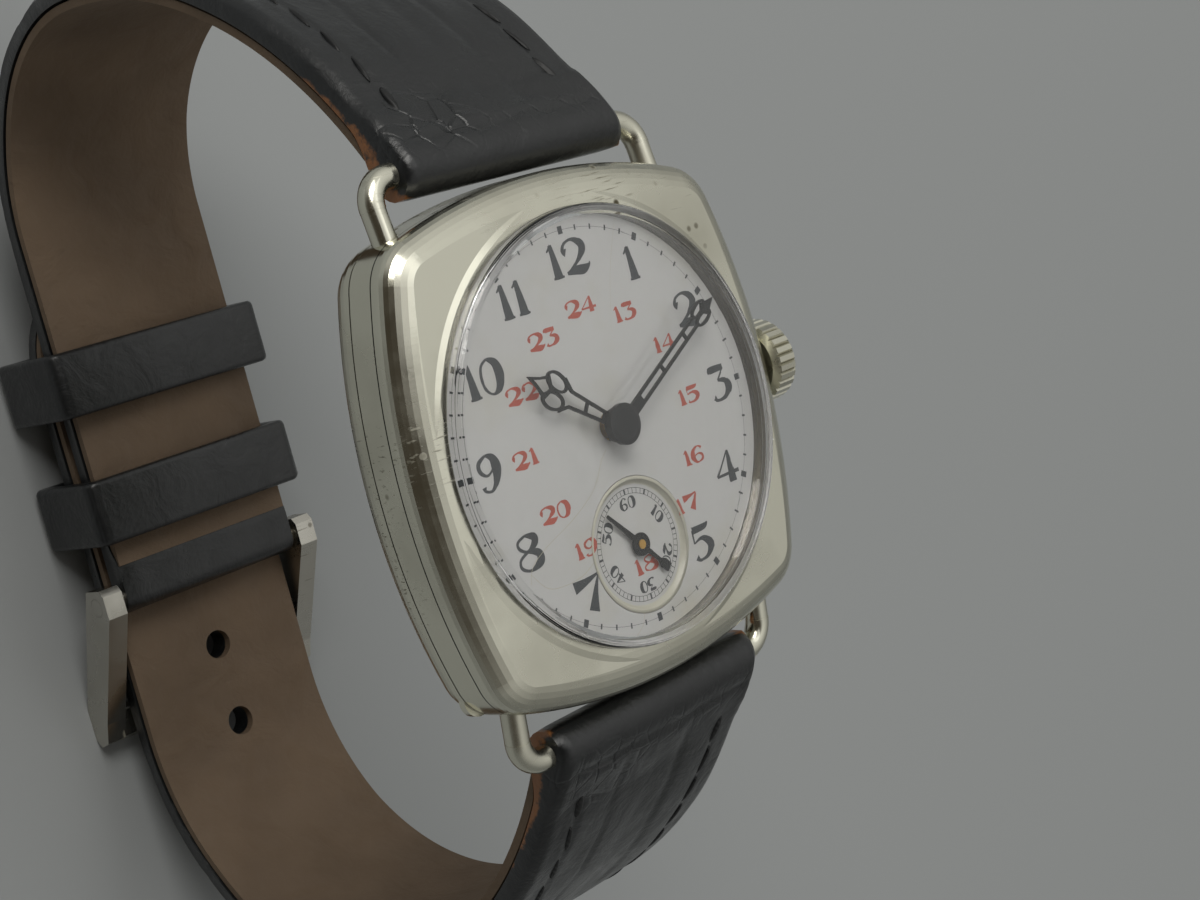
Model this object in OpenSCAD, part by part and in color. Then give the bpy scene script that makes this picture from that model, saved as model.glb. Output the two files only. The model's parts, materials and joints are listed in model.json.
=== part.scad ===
// Trench watch: cushion case with fixed wire lugs, enamel dial with small seconds,
// thirteen-ligne lever movement and a folded leather strap buckled under the wrist.
// Heights in the head are measured from the face of the dial, and z = 0 is the table.

/* [Case] */
// Width of the cushion case, without the crown
case_w = 33; // [32.6:0.1:36]
// Radius of the four bowed sides
side_r = 42; // [36:1:60]
// Radius of the four corners in plan
corner_r = 3.5; // [3.4:0.1:4.5]
// Depth of the front seam below the dial face
front_seam = 1.25; // [1.2:0.05:1.3]
// Depth of the rear seam below the dial face
rear_seam = 3.25; // [3.2:0.05:3.35]
// Rise of the bezel's rim above the dial face
rim_h = 0.9; // [0.8:0.05:1.1]
// Width of the bezel's rounded shoulder
shoulder_w = 3.1; // [2:0.1:3.3]
// Height of that shoulder
shoulder_h = 1.7; // [1.2:0.1:1.8]
// Radius of the rolled edge of the back
back_edge_r = 2.8; // [2.4:0.1:2.8]
// Depth of the back's flat below the dial face
back_depth = 6.2; // [6.2:0.05:6.6]
// Bulge of the back past that flat
back_dome = 0.6; // [0.4:0.1:1]
// Thickness of the back's sheet
back_wall = 0.45; // [0.35:0.05:0.55]

/* [Crystal and dial] */
// Width of the bezel's face at the middle of a side
face_w = 2.5; // [2.4:0.1:3.1]
// Rise of the crystal's crown above the dial face
crystal_h = 2.8; // [2.5:0.1:3.4]
// Thickness of the crystal
crystal_t = 0.55; // [0.4:0.05:0.6]
// How far the enamel dial reaches under the bezel
dial_lap = 0.4; // [0.3:0.05:0.45]
// Thickness of the enamel dial
dial_t = 0.7; // [0.5:0.05:0.7]
// Radius of the sunk seconds dial
seconds_r = 4.15; // [3.4:0.05:4.3]
// Distance of the seconds axis from the centre
seconds_at = 7.8; // [7.6:0.1:8.2]

/* [Hands] */
// Length of the minute hand
minute_l = 12.2; // [11.4:0.1:12.5]
// Length of the hour hand
hour_l = 8.1; // [7:0.1:8.6]
// Length of the seconds hand's pointer
seconds_l = 3.4; // [2.4:0.1:3.6]
// Angle of the minute hand, clockwise from twelve
minute_angle = 62; // [0:1:359]
// Angle of the hour hand, clockwise from twelve
hour_angle = 306; // [0:1:359]
// Angle of the seconds hand, clockwise from twelve
seconds_angle = 318; // [0:1:359]

/* [Crown] */
// Diameter of the crown
crown_d = 5.8; // [5:0.1:6]
// Length of the crown
crown_l = 2.5; // [2:0.1:3.5]
// Number of flutes on the crown
crown_flutes = 28; // [16:1:36]
// Travel of the crown when it is pulled to set the hands
pull = 0.7; // [0.5:0.1:0.7]

/* [Wire lugs] */
// Diameter of the lug wire
wire_d = 1.6; // [1.2:0.1:1.8]
// Distance of a lug's legs from the flank beside them
lug_in = 4.7; // [4.3:0.1:5]
// Distance of a lug's bar from the side of the case
bar_out = 1.9; // [1.8:0.1:3]
// Depth of a lug's bar below the dial face
bar_drop = 2.8; // [2.6:0.1:2.9]
// Bend radius at a lug's corners, to the middle of the wire
bend_r = 1.8; // [1.2:0.1:2]

/* [Strap] */
// Width of the strap at the lugs
strap_w = 19.2; // [18:0.1:20.4]
// Width of the strap at the buckle
strap_end_w = 16.4; // [15.5:0.1:17]
// Thickness of the strap, lining included
strap_t = 2.4; // [2:0.1:2.6]
// Thickness of the lining
lining_t = 0.7; // [0.5:0.1:0.9]
// Slope at which the strap leaves the lugs
strap_slope = 28; // [22:1:34]
// Radius of the strap over the sides of the wrist
strap_side_r = 34; // [30:1:38]
// Radius of the buckle half where it turns under the wrist
strap_under_r = 15.5; // [15:0.5:18]
// How far the tail runs past the middle of the loop
tail_l = 19; // [18:1:21]
// Distance between the holes in the tail
hole_pitch = 6.5; // [5:0.5:7]
// Number of holes in the tail
hole_count = 5; // [4:1:5]

/* [Buckle and keepers] */
// Distance of the buckle's bar from the middle of the loop, towards six
buckle_y = 7; // [6:0.5:9]
// Length of the buckle from its bar to its nose
buckle_l = 10.5; // [9.5:0.5:12]
// Thickness of the buckle's nose
nose_t = 1.9; // [1.7:0.1:2]
// Thickness of a keeper's leather
keeper_t = 1.4; // [1:0.1:1.6]
// Width of a keeper along the strap
keeper_w = 5; // [4:0.5:5.5]

/* [Hidden] */
$fn = 96;

// Finishes
silver = "#c8c4b4";
steel = "#b9bcc0";
blued = "#1c2236";
gilt = "#c9a45a";
nickel = "#c2beb2";
enamel = "#f1f0ec";
ruby = "#b0304a";
black_leather = "#202326";
tan_leather = "#9a6a3c";

// Clearances: a snapped joint, a fixed seat, a running pivot and air between moving parts
snap_gap = 0.05;
seat_gap = 0.02;
pivot_gap = 0.04;
air = 0.12;

// Plan of the cushion, from its half width and its two radii
half_w = case_w / 2;
side_c = side_r - half_w;
corner_c = corner_at(half_w, side_r, corner_r);
side_a = asin(corner_c / (side_r - corner_r));
function corner_at(h, s, c) =
    (-(s - h) + sqrt(2 * pow(s - c, 2) - pow(s - h, 2))) / 2;
function outline_y(x) = sqrt(side_r * side_r - x * x) - side_c;

// Opening, dial and lugs follow the case
opening_r = half_w - face_w;
dial_r = opening_r + dial_lap;
lug_x = half_w - lug_in;
bar_y = half_w + bar_out;

// Movement, 13 lignes across in a case of the usual width
move_r = half_w - 1.85;
flange_r = move_r + 0.35;
flange_z = -1.7;
seat_r = flange_r + 0.1;
lip_t = 0.5;
lip_h = 0.45;
neck_r = move_r + 0.1 + lip_t;
dial_gap = 0.03;
crystal_seat = opening_r + 0.35;
plate_top = -1.7;
plate_z = -3;
bridge_z = -4.6;
bridge_top = -5.22;
wheel_top = -5.56;

// Wheel train: leaves and teeth
barrel_n = 80;
centre_pinion_n = 10;
centre_n = 80;
third_pinion_n = 10;
third_n = 75;
fourth_pinion_n = 10;
fourth_n = 80;
escape_pinion_n = 8;
escape_n = 15;
cannon_n = 10;
minute_n = 30;
minute_pinion_n = 8;
hour_n = 32;
setting_n = 34;
winding_n = 12;
crown_wheel_n = 24;
ratchet_n = 48;

// Modules of the pairs
barrel_m = 0.15;
centre_m = 0.11;
third_m = 0.105;
fourth_m = 0.085;
motion_m = 0.105;

// Axes of the train in plan
barrel_d = barrel_m * (barrel_n + centre_pinion_n) / 2;
barrel_dir = 70;
barrel_at = barrel_d * [cos(barrel_dir), sin(barrel_dir)];
fourth_at = [0, -seconds_at];
centre_third = centre_m * (centre_n + third_pinion_n) / 2;
third_fourth = third_m * (third_n + fourth_pinion_n) / 2;
third_y = -(pow(seconds_at, 2) + pow(centre_third, 2) - pow(third_fourth, 2)) / (2 * seconds_at);
third_at = [sqrt(pow(centre_third, 2) - pow(third_y, 2)), third_y];
escape_d = fourth_m * (fourth_n + escape_pinion_n) / 2;
escape_dir = 165;
escape_at = fourth_at + escape_d * [cos(escape_dir), sin(escape_dir)];
escape_r = 2.2;
balance_r = 4.5;
balance_at = [-9.5, -2];
crown_wheel_at = [7.6, 0];
minute_d = motion_m * (cannon_n + minute_n) / 2;
minute_dir = 20;
minute_at = minute_d * [cos(minute_dir), sin(minute_dir)];
setting_d = motion_m * (minute_n + setting_n) / 2;
setting_dir = -14;
setting_at = minute_at + setting_d * [cos(setting_dir), sin(setting_dir)];
winding_m = 2 * norm(crown_wheel_at - barrel_at) / (ratchet_n + crown_wheel_n);
ratchet_r = winding_m * ratchet_n / 2;
crown_wheel_r = winding_m * crown_wheel_n / 2;
line_dir = dir(balance_at - escape_at);
pallet_d = 2.54;
pallet_at = escape_at + pallet_d * [cos(line_dir), sin(line_dir)];
function dir(v) = atan2(v[1], v[0]);

// Levels of the train, top and bottom of each wheel
barrel_z = [-3.95, -3.1];
barrel_teeth_z = [-3.45, -3.1];
centre_z = [-4.5, -4.3];
third_z = [-3.62, -3.42];
fourth_z = [-4.16, -3.98];
escape_z = [-3.72, -3.52];
balance_z = [-4.3, -3.95];
hair_z = [-4.62, -4.46];
pivot_r = 0.14;
arbor_r = 0.3;
jewel_r = 0.62;

// Levels of the two long hands, at the underside of their blades
hour_z = 0.7;
minute_z = 1.14;
hand_t = 0.16;
hand_wall = 0.19;

// Places of the screws, the click and the dial's feet, and the outlines of the two bridges
screw_sites = move_r / 14.65 * [[-5, 11.2], [10.6, 7.2], [11.4, -4.4], [5.6, -11.4], [-5.4, -12], [-12.2, 4]];
click_at = barrel_at + (ratchet_r + 1.35) * [cos(152), sin(152)];
barrel_outline = [[-9.2, 16], [-8.6, 4.6], [-2.6, 0.6], [-1.4, -1.5], [1.4, -1.5], [3, -0.6],
    [16, -0.6], [16, 16]];
train_outline = [[16, -1], [3.2, -1], [1.2, -2.2], [-1.5, -2.4], [-5, -5.4],
    [-5.4, -7.6], [-7.6, -16], [16, -16]];
case_screw_angles = [130, 310];
dial_feet = [40, 150, 262];
dial_feet_r = move_r - 2.65;

// Keyless work on the stem's axis
stem_z = -2.4;
stem_r = 0.55;
square_w = 0.8;
tube_r = 0.8;
winding_x = crown_wheel_at[0] + crown_wheel_r;
crown_x = half_w + 0.45;
face_teeth_z = -4.06;
core_r = 1.1;

// Crown of the strap and the loop
wire_r = wire_d / 2;
fold_r = wire_r + 0.9;
foot_z = -2.15;
bend_lap = 0.02;
bar_fit = 0.06;
nose_gap = 0.15;
tail_mid = nose_t + nose_gap + strap_t / 2;
layer_gap = 0.1;
buckle_mid = tail_mid + strap_t + layer_gap;
tail_under_r = strap_under_r + buckle_mid - tail_mid;
dial_h = buckle_mid + strap_under_r + strap_side_r * cos(strap_slope) + bar_drop;
side_end_y = bar_y + strap_side_r * (1 - sin(strap_slope));
side_end_z = dial_h - bar_drop - strap_side_r * cos(strap_slope);
buckle_bar_r = 0.7;
tang_r = 0.5;
frame_in = strap_end_w / 2 + 0.45;
frame_t = 1.7;
fixed_keeper_y = 7 - buckle_y;
sliding_keeper_y = fixed_keeper_y + 10;
keeper_gap = 0.12;
hole_r = 1.15;

module head() {
    translate([0, 0, dial_h]) children();
}

module at(p) {
    translate([p[0], p[1], 0]) children();
}

module slab(z) {
    translate([0, 0, z[0]]) linear_extrude(z[1] - z[0]) children();
}

module rod(r, z) {
    translate([0, 0, z[0]]) cylinder(r = r, h = z[1] - z[0]);
}

// Toothed outline: straight flanks, thin enough at the pitch line for free running
function tooth(n, r_root, r_tip) = [
    for (i = [0 : n - 1]) for (p = [[r_root, -0.3], [r_tip, -0.1], [r_tip, 0.1], [r_root, 0.3]])
        p[0] * [cos(360 * (i + p[1]) / n), sin(360 * (i + p[1]) / n)]];

module gear_2d(n, m) {
    polygon(tooth(n, m * (n / 2 - 1.25), m * (n / 2 + 0.95)));
}

// Angle of the second gear that puts its gap on the first gear's tooth
function mesh(n1, rot1, line, n2) = line + 180 - (rot1 - line) * n1 / n2 - 180 / n2;

// Spoked wheel with its rim, crossings and hub
module wheel_2d(n, m, spokes, rot = 0) {
    rim = m * (n / 2 - 1.25) - 0.32;
    difference() {
        rotate(rot) gear_2d(n, m);
        circle(rim);
    }
    circle(0.75);
    for (i = [0 : spokes - 1]) rotate(i * 360 / spokes)
        translate([0, -0.16]) square([rim + 0.1, 0.32]);
}

// Quarter round of a rolled edge, from the wall to the face
function roll_points(r, steps = 7) = [for (i = [0 : steps]) r * [cos(90 * i / steps), sin(90 * i / steps)]];

// Oval outline with its middle at the origin
function oval(rx, ry, steps = 40) = [for (i = [0 : steps - 1]) let (a = 360 * i / steps) [rx * cos(a), ry * sin(a)]];

// Dome's section from its rim to its top
function dome_points(r, sag, steps = 10) = let (ball = (r * r + sag * sag) / (2 * sag))
    [for (i = [0 : steps]) let (x = r * (1 - i / steps)) [x, sqrt(ball * ball - x * x) - ball + sag]];

// One flank of the cushion: a straight wall from z0 whose far edge at z1 is rolled over, w wide and h high
function flank(z0, z1, w, h) = let (up = sign(z1 - z0))
    concat([[-corner_r, z0], [0, z0]],
        [for (p = roll_points(1, 10)) [w * (p[0] - 1), z1 + up * h * (p[1] - 1)]],
        [[-corner_r, z1]]);

// Cushion body: four bowed sides and four corners swept from one flank, round a core
module cushion(z0, z1, w, h) {
    for (k = [0 : 3]) rotate(90 * k) {
        translate([-side_c, 0, 0]) rotate_extrude(angle = 2 * side_a, start = -side_a)
            translate([side_r, 0]) polygon(flank(z0, z1, w, h));
        translate([corner_c, corner_c, 0])
            rotate_extrude(angle = 90 - 2 * side_a, start = side_a)
                translate([corner_r, 0]) polygon(flank(z0, z1, w, h));
    }
    translate([0, 0, min(z0, z1)]) linear_extrude(abs(z1 - z0)) intersection_for(k = [0 : 3])
        rotate(90 * k) translate([-side_c, 0]) circle(side_r - corner_r);
}

// Bezel: front of the case, snapped on the middle, with the crystal's seat
module bezel() {
    color(silver) head() difference() {
        intersection() {
            cushion(-front_seam, rim_h, shoulder_w, shoulder_h);
            rotate_extrude() polygon([[0, -2], [case_w, -2], [case_w, rim_h - 0.5],
                [opening_r + 0.8, rim_h - 0.14], [opening_r + 0.4, rim_h], [0, rim_h]]);
        }
        rod(opening_r, [-2, 2]);
        rod(crystal_seat, [-1, rim_h - 0.35]);
        rod(dial_r + 0.1, [-2, dial_gap]);
        rod(move_r + 0.1, [-2, -dial_t + dial_gap]);
        rod(seat_r + lip_t + snap_gap, [-2, -front_seam + lip_h + snap_gap]);
    }
}

// Crystal: high dome with a short upright wall, sprung into the bezel
module crystal() {
    wall_top = rim_h + 0.5;
    shoulder = 0.6;
    wall = opening_r - seat_gap;
    dome_r = wall - shoulder;
    base = wall_top + shoulder * 0.85;
    color("#e8f0f0") head() rotate_extrude() polygon(concat(
        [[wall - crystal_t, dial_gap + seat_gap], [crystal_seat - seat_gap, dial_gap + seat_gap],
            [crystal_seat - seat_gap, rim_h - 0.37], [wall, rim_h - 0.37]],
        [for (p = roll_points(shoulder, 5)) [dome_r + p[0], wall_top + 0.85 * p[1]]],
        [for (p = dome_points(dome_r, crystal_h - base)) [p[0], base + p[1]]],
        [for (i = [10 : -1 : 0]) let (p = dome_points(dome_r - 0.15, crystal_h - base)[i])
            [p[0], base - crystal_t + p[1]]],
        [[wall - crystal_t, wall_top - 0.3]]));
}

// Middle of the case: carries the movement, the lugs and the crown's tube
module middle_case() {
    color(silver) head() difference() {
        union() {
            cushion(-front_seam, -rear_seam, 0.06, 0.06);
            rod(seat_r + lip_t, [-front_seam - 0.5, -front_seam + lip_h]);
            rod(neck_r, [-rear_seam - lip_h, -rear_seam + 0.5]);
            translate([half_w - 1, 0, stem_z]) rotate([0, 90, 0]) cylinder(r = tube_r, h = 1.3);
        }
        rod(seat_r, [flange_z, 1]);
        rod(move_r + 0.1, [-7, 0]);
        translate([half_w - 4.5, 0, stem_z]) rotate([0, 90, 0]) cylinder(r = stem_r + pivot_gap, h = 10);
        for (s = [-1, 1]) for (t = [-1, 1]) lug_leg(s, t, wire_r + seat_gap);
        case_screw_seats();
    }
}

// Back cover: thin domed sheet that snaps over the middle, with a lip for a nail
module back_cover() {
    inner_r = neck_r + snap_gap;
    face_r = half_w - back_edge_r - 0.3;
    floor_z = -back_depth + back_wall;
    edge_r = min(back_edge_r, back_depth - rear_seam - 0.1);
    color(silver) head() {
        difference() {
            union() {
                cushion(-rear_seam, -back_depth, edge_r, edge_r);
                rotate_extrude() polygon(concat([[0, -back_depth + 0.3], [face_r, -back_depth + 0.3]],
                    [for (p = dome_points(face_r, back_dome)) [p[0], -back_depth - p[1]]]));
            }
            rotate_extrude() polygon(concat([[0, 0], [inner_r, 0], [inner_r, floor_z + 1.15],
                [move_r + 0.15, floor_z + 0.55], [move_r - 0.85, floor_z]],
                [for (p = dome_points(face_r - 0.2, back_dome)) [p[0], floor_z - p[1]]]));
        }
        rotate(225) translate([corner_c * sqrt(2) + corner_r - 0.75, 0, -rear_seam - 0.6])
            cylinder(r = 1.1, h = 0.5);
    }
}

// Straight leg of a lug from its bend into the middle of the case
module lug_leg(s, t, r) {
    run = bar_y - lug_foot_y();
    translate([t * lug_x, s * bar_y, -bar_drop]) rotate([s * (90 + lug_fall()), 0, 0])
        translate([0, 0, bend_r - bend_lap]) cylinder(r = r, h = norm([run, bar_drop + foot_z]) - bend_r);
}

function lug_foot_y() = outline_y(lug_x) - 1;
function lug_fall() = -atan((bar_drop + foot_z) / (bar_y - lug_foot_y()));

// Wire lug: one length of round wire bent square at both corners and soldered in
module lug_wire(s) {
    color(silver) head() {
        for (t = [-1, 1]) {
            lug_leg(s, t, wire_r);
            translate([t * (lug_x - bend_r), s * bar_y, -bar_drop]) rotate([s * lug_fall(), 0, 0])
                translate([0, -s * bend_r, 0])
                    rotate_extrude(angle = 90, start = t > 0 ? (s > 0 ? 0 : 270) : (s > 0 ? 90 : 180))
                        translate([bend_r, 0]) circle(wire_r + bend_lap);
        }
        translate([-lug_x + bend_r - bend_lap, s * bar_y, -bar_drop]) rotate([0, 90, 0])
            cylinder(r = wire_r, h = 2 * (lug_x - bend_r + bend_lap));
    }
}

module lug_wire_top() { lug_wire(1); }
module lug_wire_bottom() { lug_wire(-1); }

// Crown: fluted onion of solid silver, hollowed to clear the tube
module crown() {
    flutes = [for (i = [0 : crown_flutes - 1]) for (p = [[1, -0.28], [1, 0.28], [0.93, 0.5]])
        p[0] * crown_d / 2 * [cos(360 * (i + p[1]) / crown_flutes), sin(360 * (i + p[1]) / crown_flutes)]];
    color(silver) head() translate([crown_x, 0, stem_z]) rotate([0, 90, 0]) difference() {
        intersection() {
            linear_extrude(crown_l) polygon(flutes);
            rotate_extrude() polygon([[0, 0], [0.8 * crown_d / 2, 0], [crown_d / 2, 0.25],
                [crown_d / 2, crown_l - 0.7], [0.82 * crown_d / 2, crown_l - 0.15],
                [0.5 * crown_d / 2, crown_l], [0, crown_l]]);
        }
        translate([0, 0, -1]) cylinder(r = tube_r + pivot_gap, h = 1.4);
        translate([0, 0, -1]) cylinder(r = stem_r * 0.7 + seat_gap, h = crown_l + 0.2);
    }
}

// Winding stem: threaded end in the crown, bearing, square for the clutch and a pilot
module stem() {
    square_x = winding_x - 3.6;
    color(steel) head() translate([0, 0, stem_z]) rotate([0, 90, 0]) difference() {
        union() {
            rod(stem_r * 0.7, [crown_x, crown_x + crown_l - 0.82]);
            rod(stem_r, [winding_x + 0.2, crown_x + 0.38]);
            translate([-square_w / 2, -square_w / 2, square_x])
                cube([square_w, square_w, winding_x - square_x + 0.4]);
            rod(0.35, [square_x - 1, square_x + 0.2]);
        }
        difference() {
            rod(1, [winding_x + 1.9, winding_x + 2.5]);
            rod(0.42, [winding_x + 1, winding_x + 3]);
        }
    }
}

// Winding pinion: round bore on the stem, teeth for the crown wheel
module winding_pinion() {
    color(steel) head() translate([0, 0, stem_z]) rotate([0, 90, 0]) difference() {
        union() {
            translate([0, 0, winding_x - 0.45]) linear_extrude(0.9)
                polygon(tooth(winding_n, 1.05, 1.62));
            rod(1, [winding_x - 0.9, winding_x]);
        }
        rod(stem_r + pivot_gap, [winding_x - 2, winding_x + 2]);
    }
}

// Clutch: slides on the stem's square, grooved for the setting lever
module clutch() {
    color(steel) head() translate([0, 0, stem_z]) rotate([0, 90, 0]) difference() {
        union() {
            rod(1, [winding_x - 1.7, winding_x - 0.98]);
            rod(0.72, [winding_x - 2.3, winding_x - 1.6]);
            translate([0, 0, winding_x - 2.8]) linear_extrude(0.55) polygon(tooth(10, 0.75, 1.02));
        }
        translate([-square_w / 2 - seat_gap, -square_w / 2 - seat_gap, winding_x - 4])
            cube([square_w + 2 * seat_gap, square_w + 2 * seat_gap, 5]);
    }
}

// Setting lever: bent steel lever whose beak sits in the clutch's groove
module setting_lever() {
    color(steel) head() difference() {
        slab([-1.6, -1.32]) {
            translate([winding_x - 0.2, 2.9]) circle(0.9);
            translate([winding_x - 1.9, 1.9]) rotate(28) square([2.4, 0.7]);
            translate([winding_x - 2.13, -0.4]) square([0.3, 3]);
        }
        translate([winding_x - 0.2, 2.9, -3]) cylinder(r = 0.35, h = 3);
    }
}

// Enamel dial: fired disc with its centre hole, sunk seconds window and three feet
module dial() {
    color(enamel) head() {
        difference() {
            slab([-dial_t, 0]) difference() {
                circle(dial_r);
                circle(0.95);
                translate([0, -seconds_at]) circle(seconds_r);
            }
            translate([0, -seconds_at, -0.32]) rotate_extrude()
                polygon([[0, 0], [seconds_r, 0], [seconds_r + 0.32, 0.4], [0, 0.4]]);
        }
        for (a = dial_feet) rotate(a) at([dial_feet_r, 0]) rod(0.4, [-2.3, -dial_t]);
    }
}

// Seconds dial: lower disc soldered behind the window
module seconds_dial() {
    color(enamel) head() translate([0, -seconds_at, 0]) difference() {
        rod(seconds_r - seat_gap, [-dial_t, -0.3]);
        rod(pivot_r + 0.14, [-2, 1]);
    }
}

// Pair of thin oval loops side by side, the ornament of both long hands
module hand_loops(y, x, rx, ry, tilt) {
    for (t = [-1, 1]) translate([t * x, y]) rotate(-t * tilt) difference() {
        polygon(oval(rx, ry));
        polygon(oval(rx - hand_wall, ry - hand_wall));
    }
}

// Hour hand: skeleton of two rails with a cross-bar, two loops and a drawn-out tip
module hour_hand() {
    loop_y = hour_l - 2.4;
    neck_y = hour_l - 3.75;
    color(blued) head() rotate(-hour_angle) translate([0, 0, hour_z]) linear_extrude(hand_t) difference() {
        union() {
            circle(1.15);
            difference() {
                union() {
                    polygon([[-0.46, 0.6], [-0.42, 1.5], [-0.6, neck_y], [-1.16, loop_y - 0.62],
                        [1.16, loop_y - 0.62], [0.6, neck_y], [0.42, 1.5], [0.46, 0.6]]);
                    polygon([[-0.8, loop_y + 0.7], [-0.36, loop_y + 1.45], [0, hour_l], [0.36, loop_y + 1.45],
                        [0.8, loop_y + 0.7], [0, loop_y + 0.2]]);
                }
                polygon([[-0.22, 1.45], [-0.3, 2.85], [0.3, 2.85], [0.22, 1.45]]);
                polygon([[-0.32, 3.05], [-0.41, neck_y + 0.08], [-1.1, loop_y - 0.2], [1.1, loop_y - 0.2],
                    [0.41, neck_y + 0.08], [0.32, 3.05]]);
                polygon([[-0.5, loop_y + 0.8], [-0.18, loop_y + 1.45], [0, loop_y + 1.9],
                    [0.18, loop_y + 1.45], [0.5, loop_y + 0.8], [0, loop_y + 0.45]]);
            }
            hand_loops(loop_y, 0.62, 0.62, 0.94, 9);
        }
        circle(0.75);
    }
    color(blued) head() difference() {
        rod(1.15, [hour_z - 0.08, hour_z + 0.22]);
        rod(0.72, [-2, 2]);
    }
}

// Minute hand: open ladder with cross-bars, two long loops, a pointed tip and a raised cap
module minute_hand() {
    loop_y = minute_l - 1.65;
    bar_1 = 5.2;
    bar_2 = 8.3;
    half_bar = 0.1;
    color(blued) head() {
        rotate(-minute_angle) translate([0, 0, minute_z]) linear_extrude(hand_t) difference() {
            union() {
                circle(1.3);
                difference() {
                    union() {
                        polygon([[-0.42, 0.9], [-0.4, loop_y - 0.6], [0.4, loop_y - 0.6], [0.42, 0.9]]);
                        polygon([[-0.5, loop_y + 0.5], [-0.24, loop_y + 1.05], [0, minute_l],
                            [0.24, loop_y + 1.05], [0.5, loop_y + 0.5], [0, loop_y]]);
                    }
                    for (y = [[2.4, bar_1 - half_bar], [bar_1 + half_bar, bar_2 - half_bar],
                        [bar_2 + half_bar, loop_y]])
                        translate([-0.21, y[0]]) square([0.42, y[1] - y[0]]);
                }
                hand_loops(loop_y, 0.36, 0.4, 0.86, 4);
            }
            circle(0.44);
        }
        translate([0, 0, minute_z]) rotate_extrude() polygon([[0.44, -0.06], [1.33, -0.06],
            [1.33, 0.24], [1, 0.33], [0, 0.36], [0, 0.18], [0.44, 0.18]]);
    }
}

// Seconds hand: blued pointer with a spade tail and a brass pipe
module seconds_hand() {
    color(blued) head() translate([0, -seconds_at, 0]) {
        rotate(-seconds_angle) translate([0, 0, -0.05]) linear_extrude(0.12) difference() {
            union() {
                circle(0.75);
                polygon([[-0.22, 0], [-0.08, seconds_l], [0.08, seconds_l], [0.22, 0]]);
                polygon([[-0.16, 0], [-0.12, -1.9], [-0.34, -2.3], [-0.3, -2.9], [0.3, -2.9],
                    [0.34, -2.3], [0.12, -1.9], [0.16, 0]]);
            }
            circle(pivot_r);
        }
        difference() {
            rod(0.3, [-0.22, 0.14]);
            rod(pivot_r, [-1, 0.1]);
        }
    }
}

// Main plate: brass disc with the dial rim, the barrel sink and the train's bearings
module main_plate() {
    color(gilt) head() difference() {
        union() {
            rod(move_r, [plate_z, -dial_t - 0.02]);
            rod(flange_r, [flange_z, -front_seam - 0.05]);
            at(crown_wheel_at) {
                rod(crown_wheel_r - 0.85, [bridge_top, plate_z + 0.1]);
                rod(core_r, [wheel_top - 0.04, bridge_top + 0.1]);
            }
        }
        difference() {
            rod(move_r - 1.65, [plate_top, 1]);
            for (a = dial_feet) rotate(a) at([dial_feet_r, 0]) rod(1.4, [plate_top - 0.1, plate_top + 1.5]);
        }
        at(barrel_at) rod(barrel_m * (barrel_n / 2 + 0.95) + air, [-5, barrel_teeth_z[1] - 0.25]);
        for (p = [third_at, fourth_at, escape_at, balance_at, pallet_at]) at(p) rod(jewel_r, [-5, 0]);
        rod(0.7, [-5, 0]);
        at(barrel_at) rod(0.8, [-5, 0]);
        at(minute_at) rod(0.22, [-2.6, 0]);
        at(setting_at) rod(0.22, [-2.6, 0]);
        for (a = dial_feet) rotate(a) at([dial_feet_r, 0]) rod(0.45, [-2.6, 0.4]);
        translate([0, 0, stem_z]) rotate([0, 90, 0]) {
            rod(1.75, [winding_x - 1, winding_x + 0.55]);
            rod(1.15, [winding_x - 3 - pull, winding_x]);
            rod(stem_r + pivot_gap, [winding_x, 20]);
            rod(0.35 + pivot_gap, [winding_x - 4.6 - pull, winding_x]);
        }
        translate([winding_x - 3 - pull, -1.15, -1.8]) cube([3 + pull, 2.3, 2]);
        for (p = screw_sites) at(p) rod(0.5, [-4, -2]);
        at(crown_wheel_at) rod(0.5, [-7, bridge_z]);
        for (a = case_screw_angles) rotate(a) translate([move_r - 0.6, 0, -5]) cylinder(r = 0.5, h = 3);
        pallet_bridge_pads();
    }
}

module pallet_bridge_pads() {
    for (t = [-1, 1]) at(pallet_at) rotate(line_dir + 90) translate([t * 2, 0, -4]) cylinder(r = 0.3, h = 2);
}

// Bridge blank: the part of the movement's disc that lies in one outline, on raised feet
module bridge(outline, feet) {
    difference() {
        union() {
            slab([bridge_top, bridge_z]) intersection() {
                circle(move_r - 0.2);
                polygon(outline);
            }
            for (p = feet) slab([bridge_z - 0.1, plate_z]) intersection() {
                circle(move_r - 0.2);
                translate(p) circle(1.45);
            }
        }
        for (p = screw_sites) at(p) {
            rod(0.55, [-6, -2]);
            rod(0.95, [-6, bridge_top + 0.3]);
        }
    }
}

// Barrel bridge: holds the barrel, the centre wheel and the winding wheels
module barrel_bridge() {
    color(gilt) head() difference() {
        bridge(barrel_outline, [screw_sites[0], screw_sites[1]]);
        at(barrel_at) rod(1.25, [-6, -4]);
        rod(jewel_r, [-6, -4]);
        at(click_at) rod(0.3, [-6, -4]);
        at(crown_wheel_at) rod(crown_wheel_r + 0.5, [-6, -4]);
    }
}

// Train bridge: upper bearings of the third, fourth and escape wheels
module train_bridge() {
    color(gilt) head() difference() {
        bridge(train_outline, [screw_sites[2], screw_sites[3], screw_sites[4]]);
        for (p = [third_at, fourth_at, escape_at]) at(p) rod(jewel_r, [-6, -4]);
        at(crown_wheel_at) rod(crown_wheel_r + 0.5, [-6, -4]);
    }
}

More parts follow.
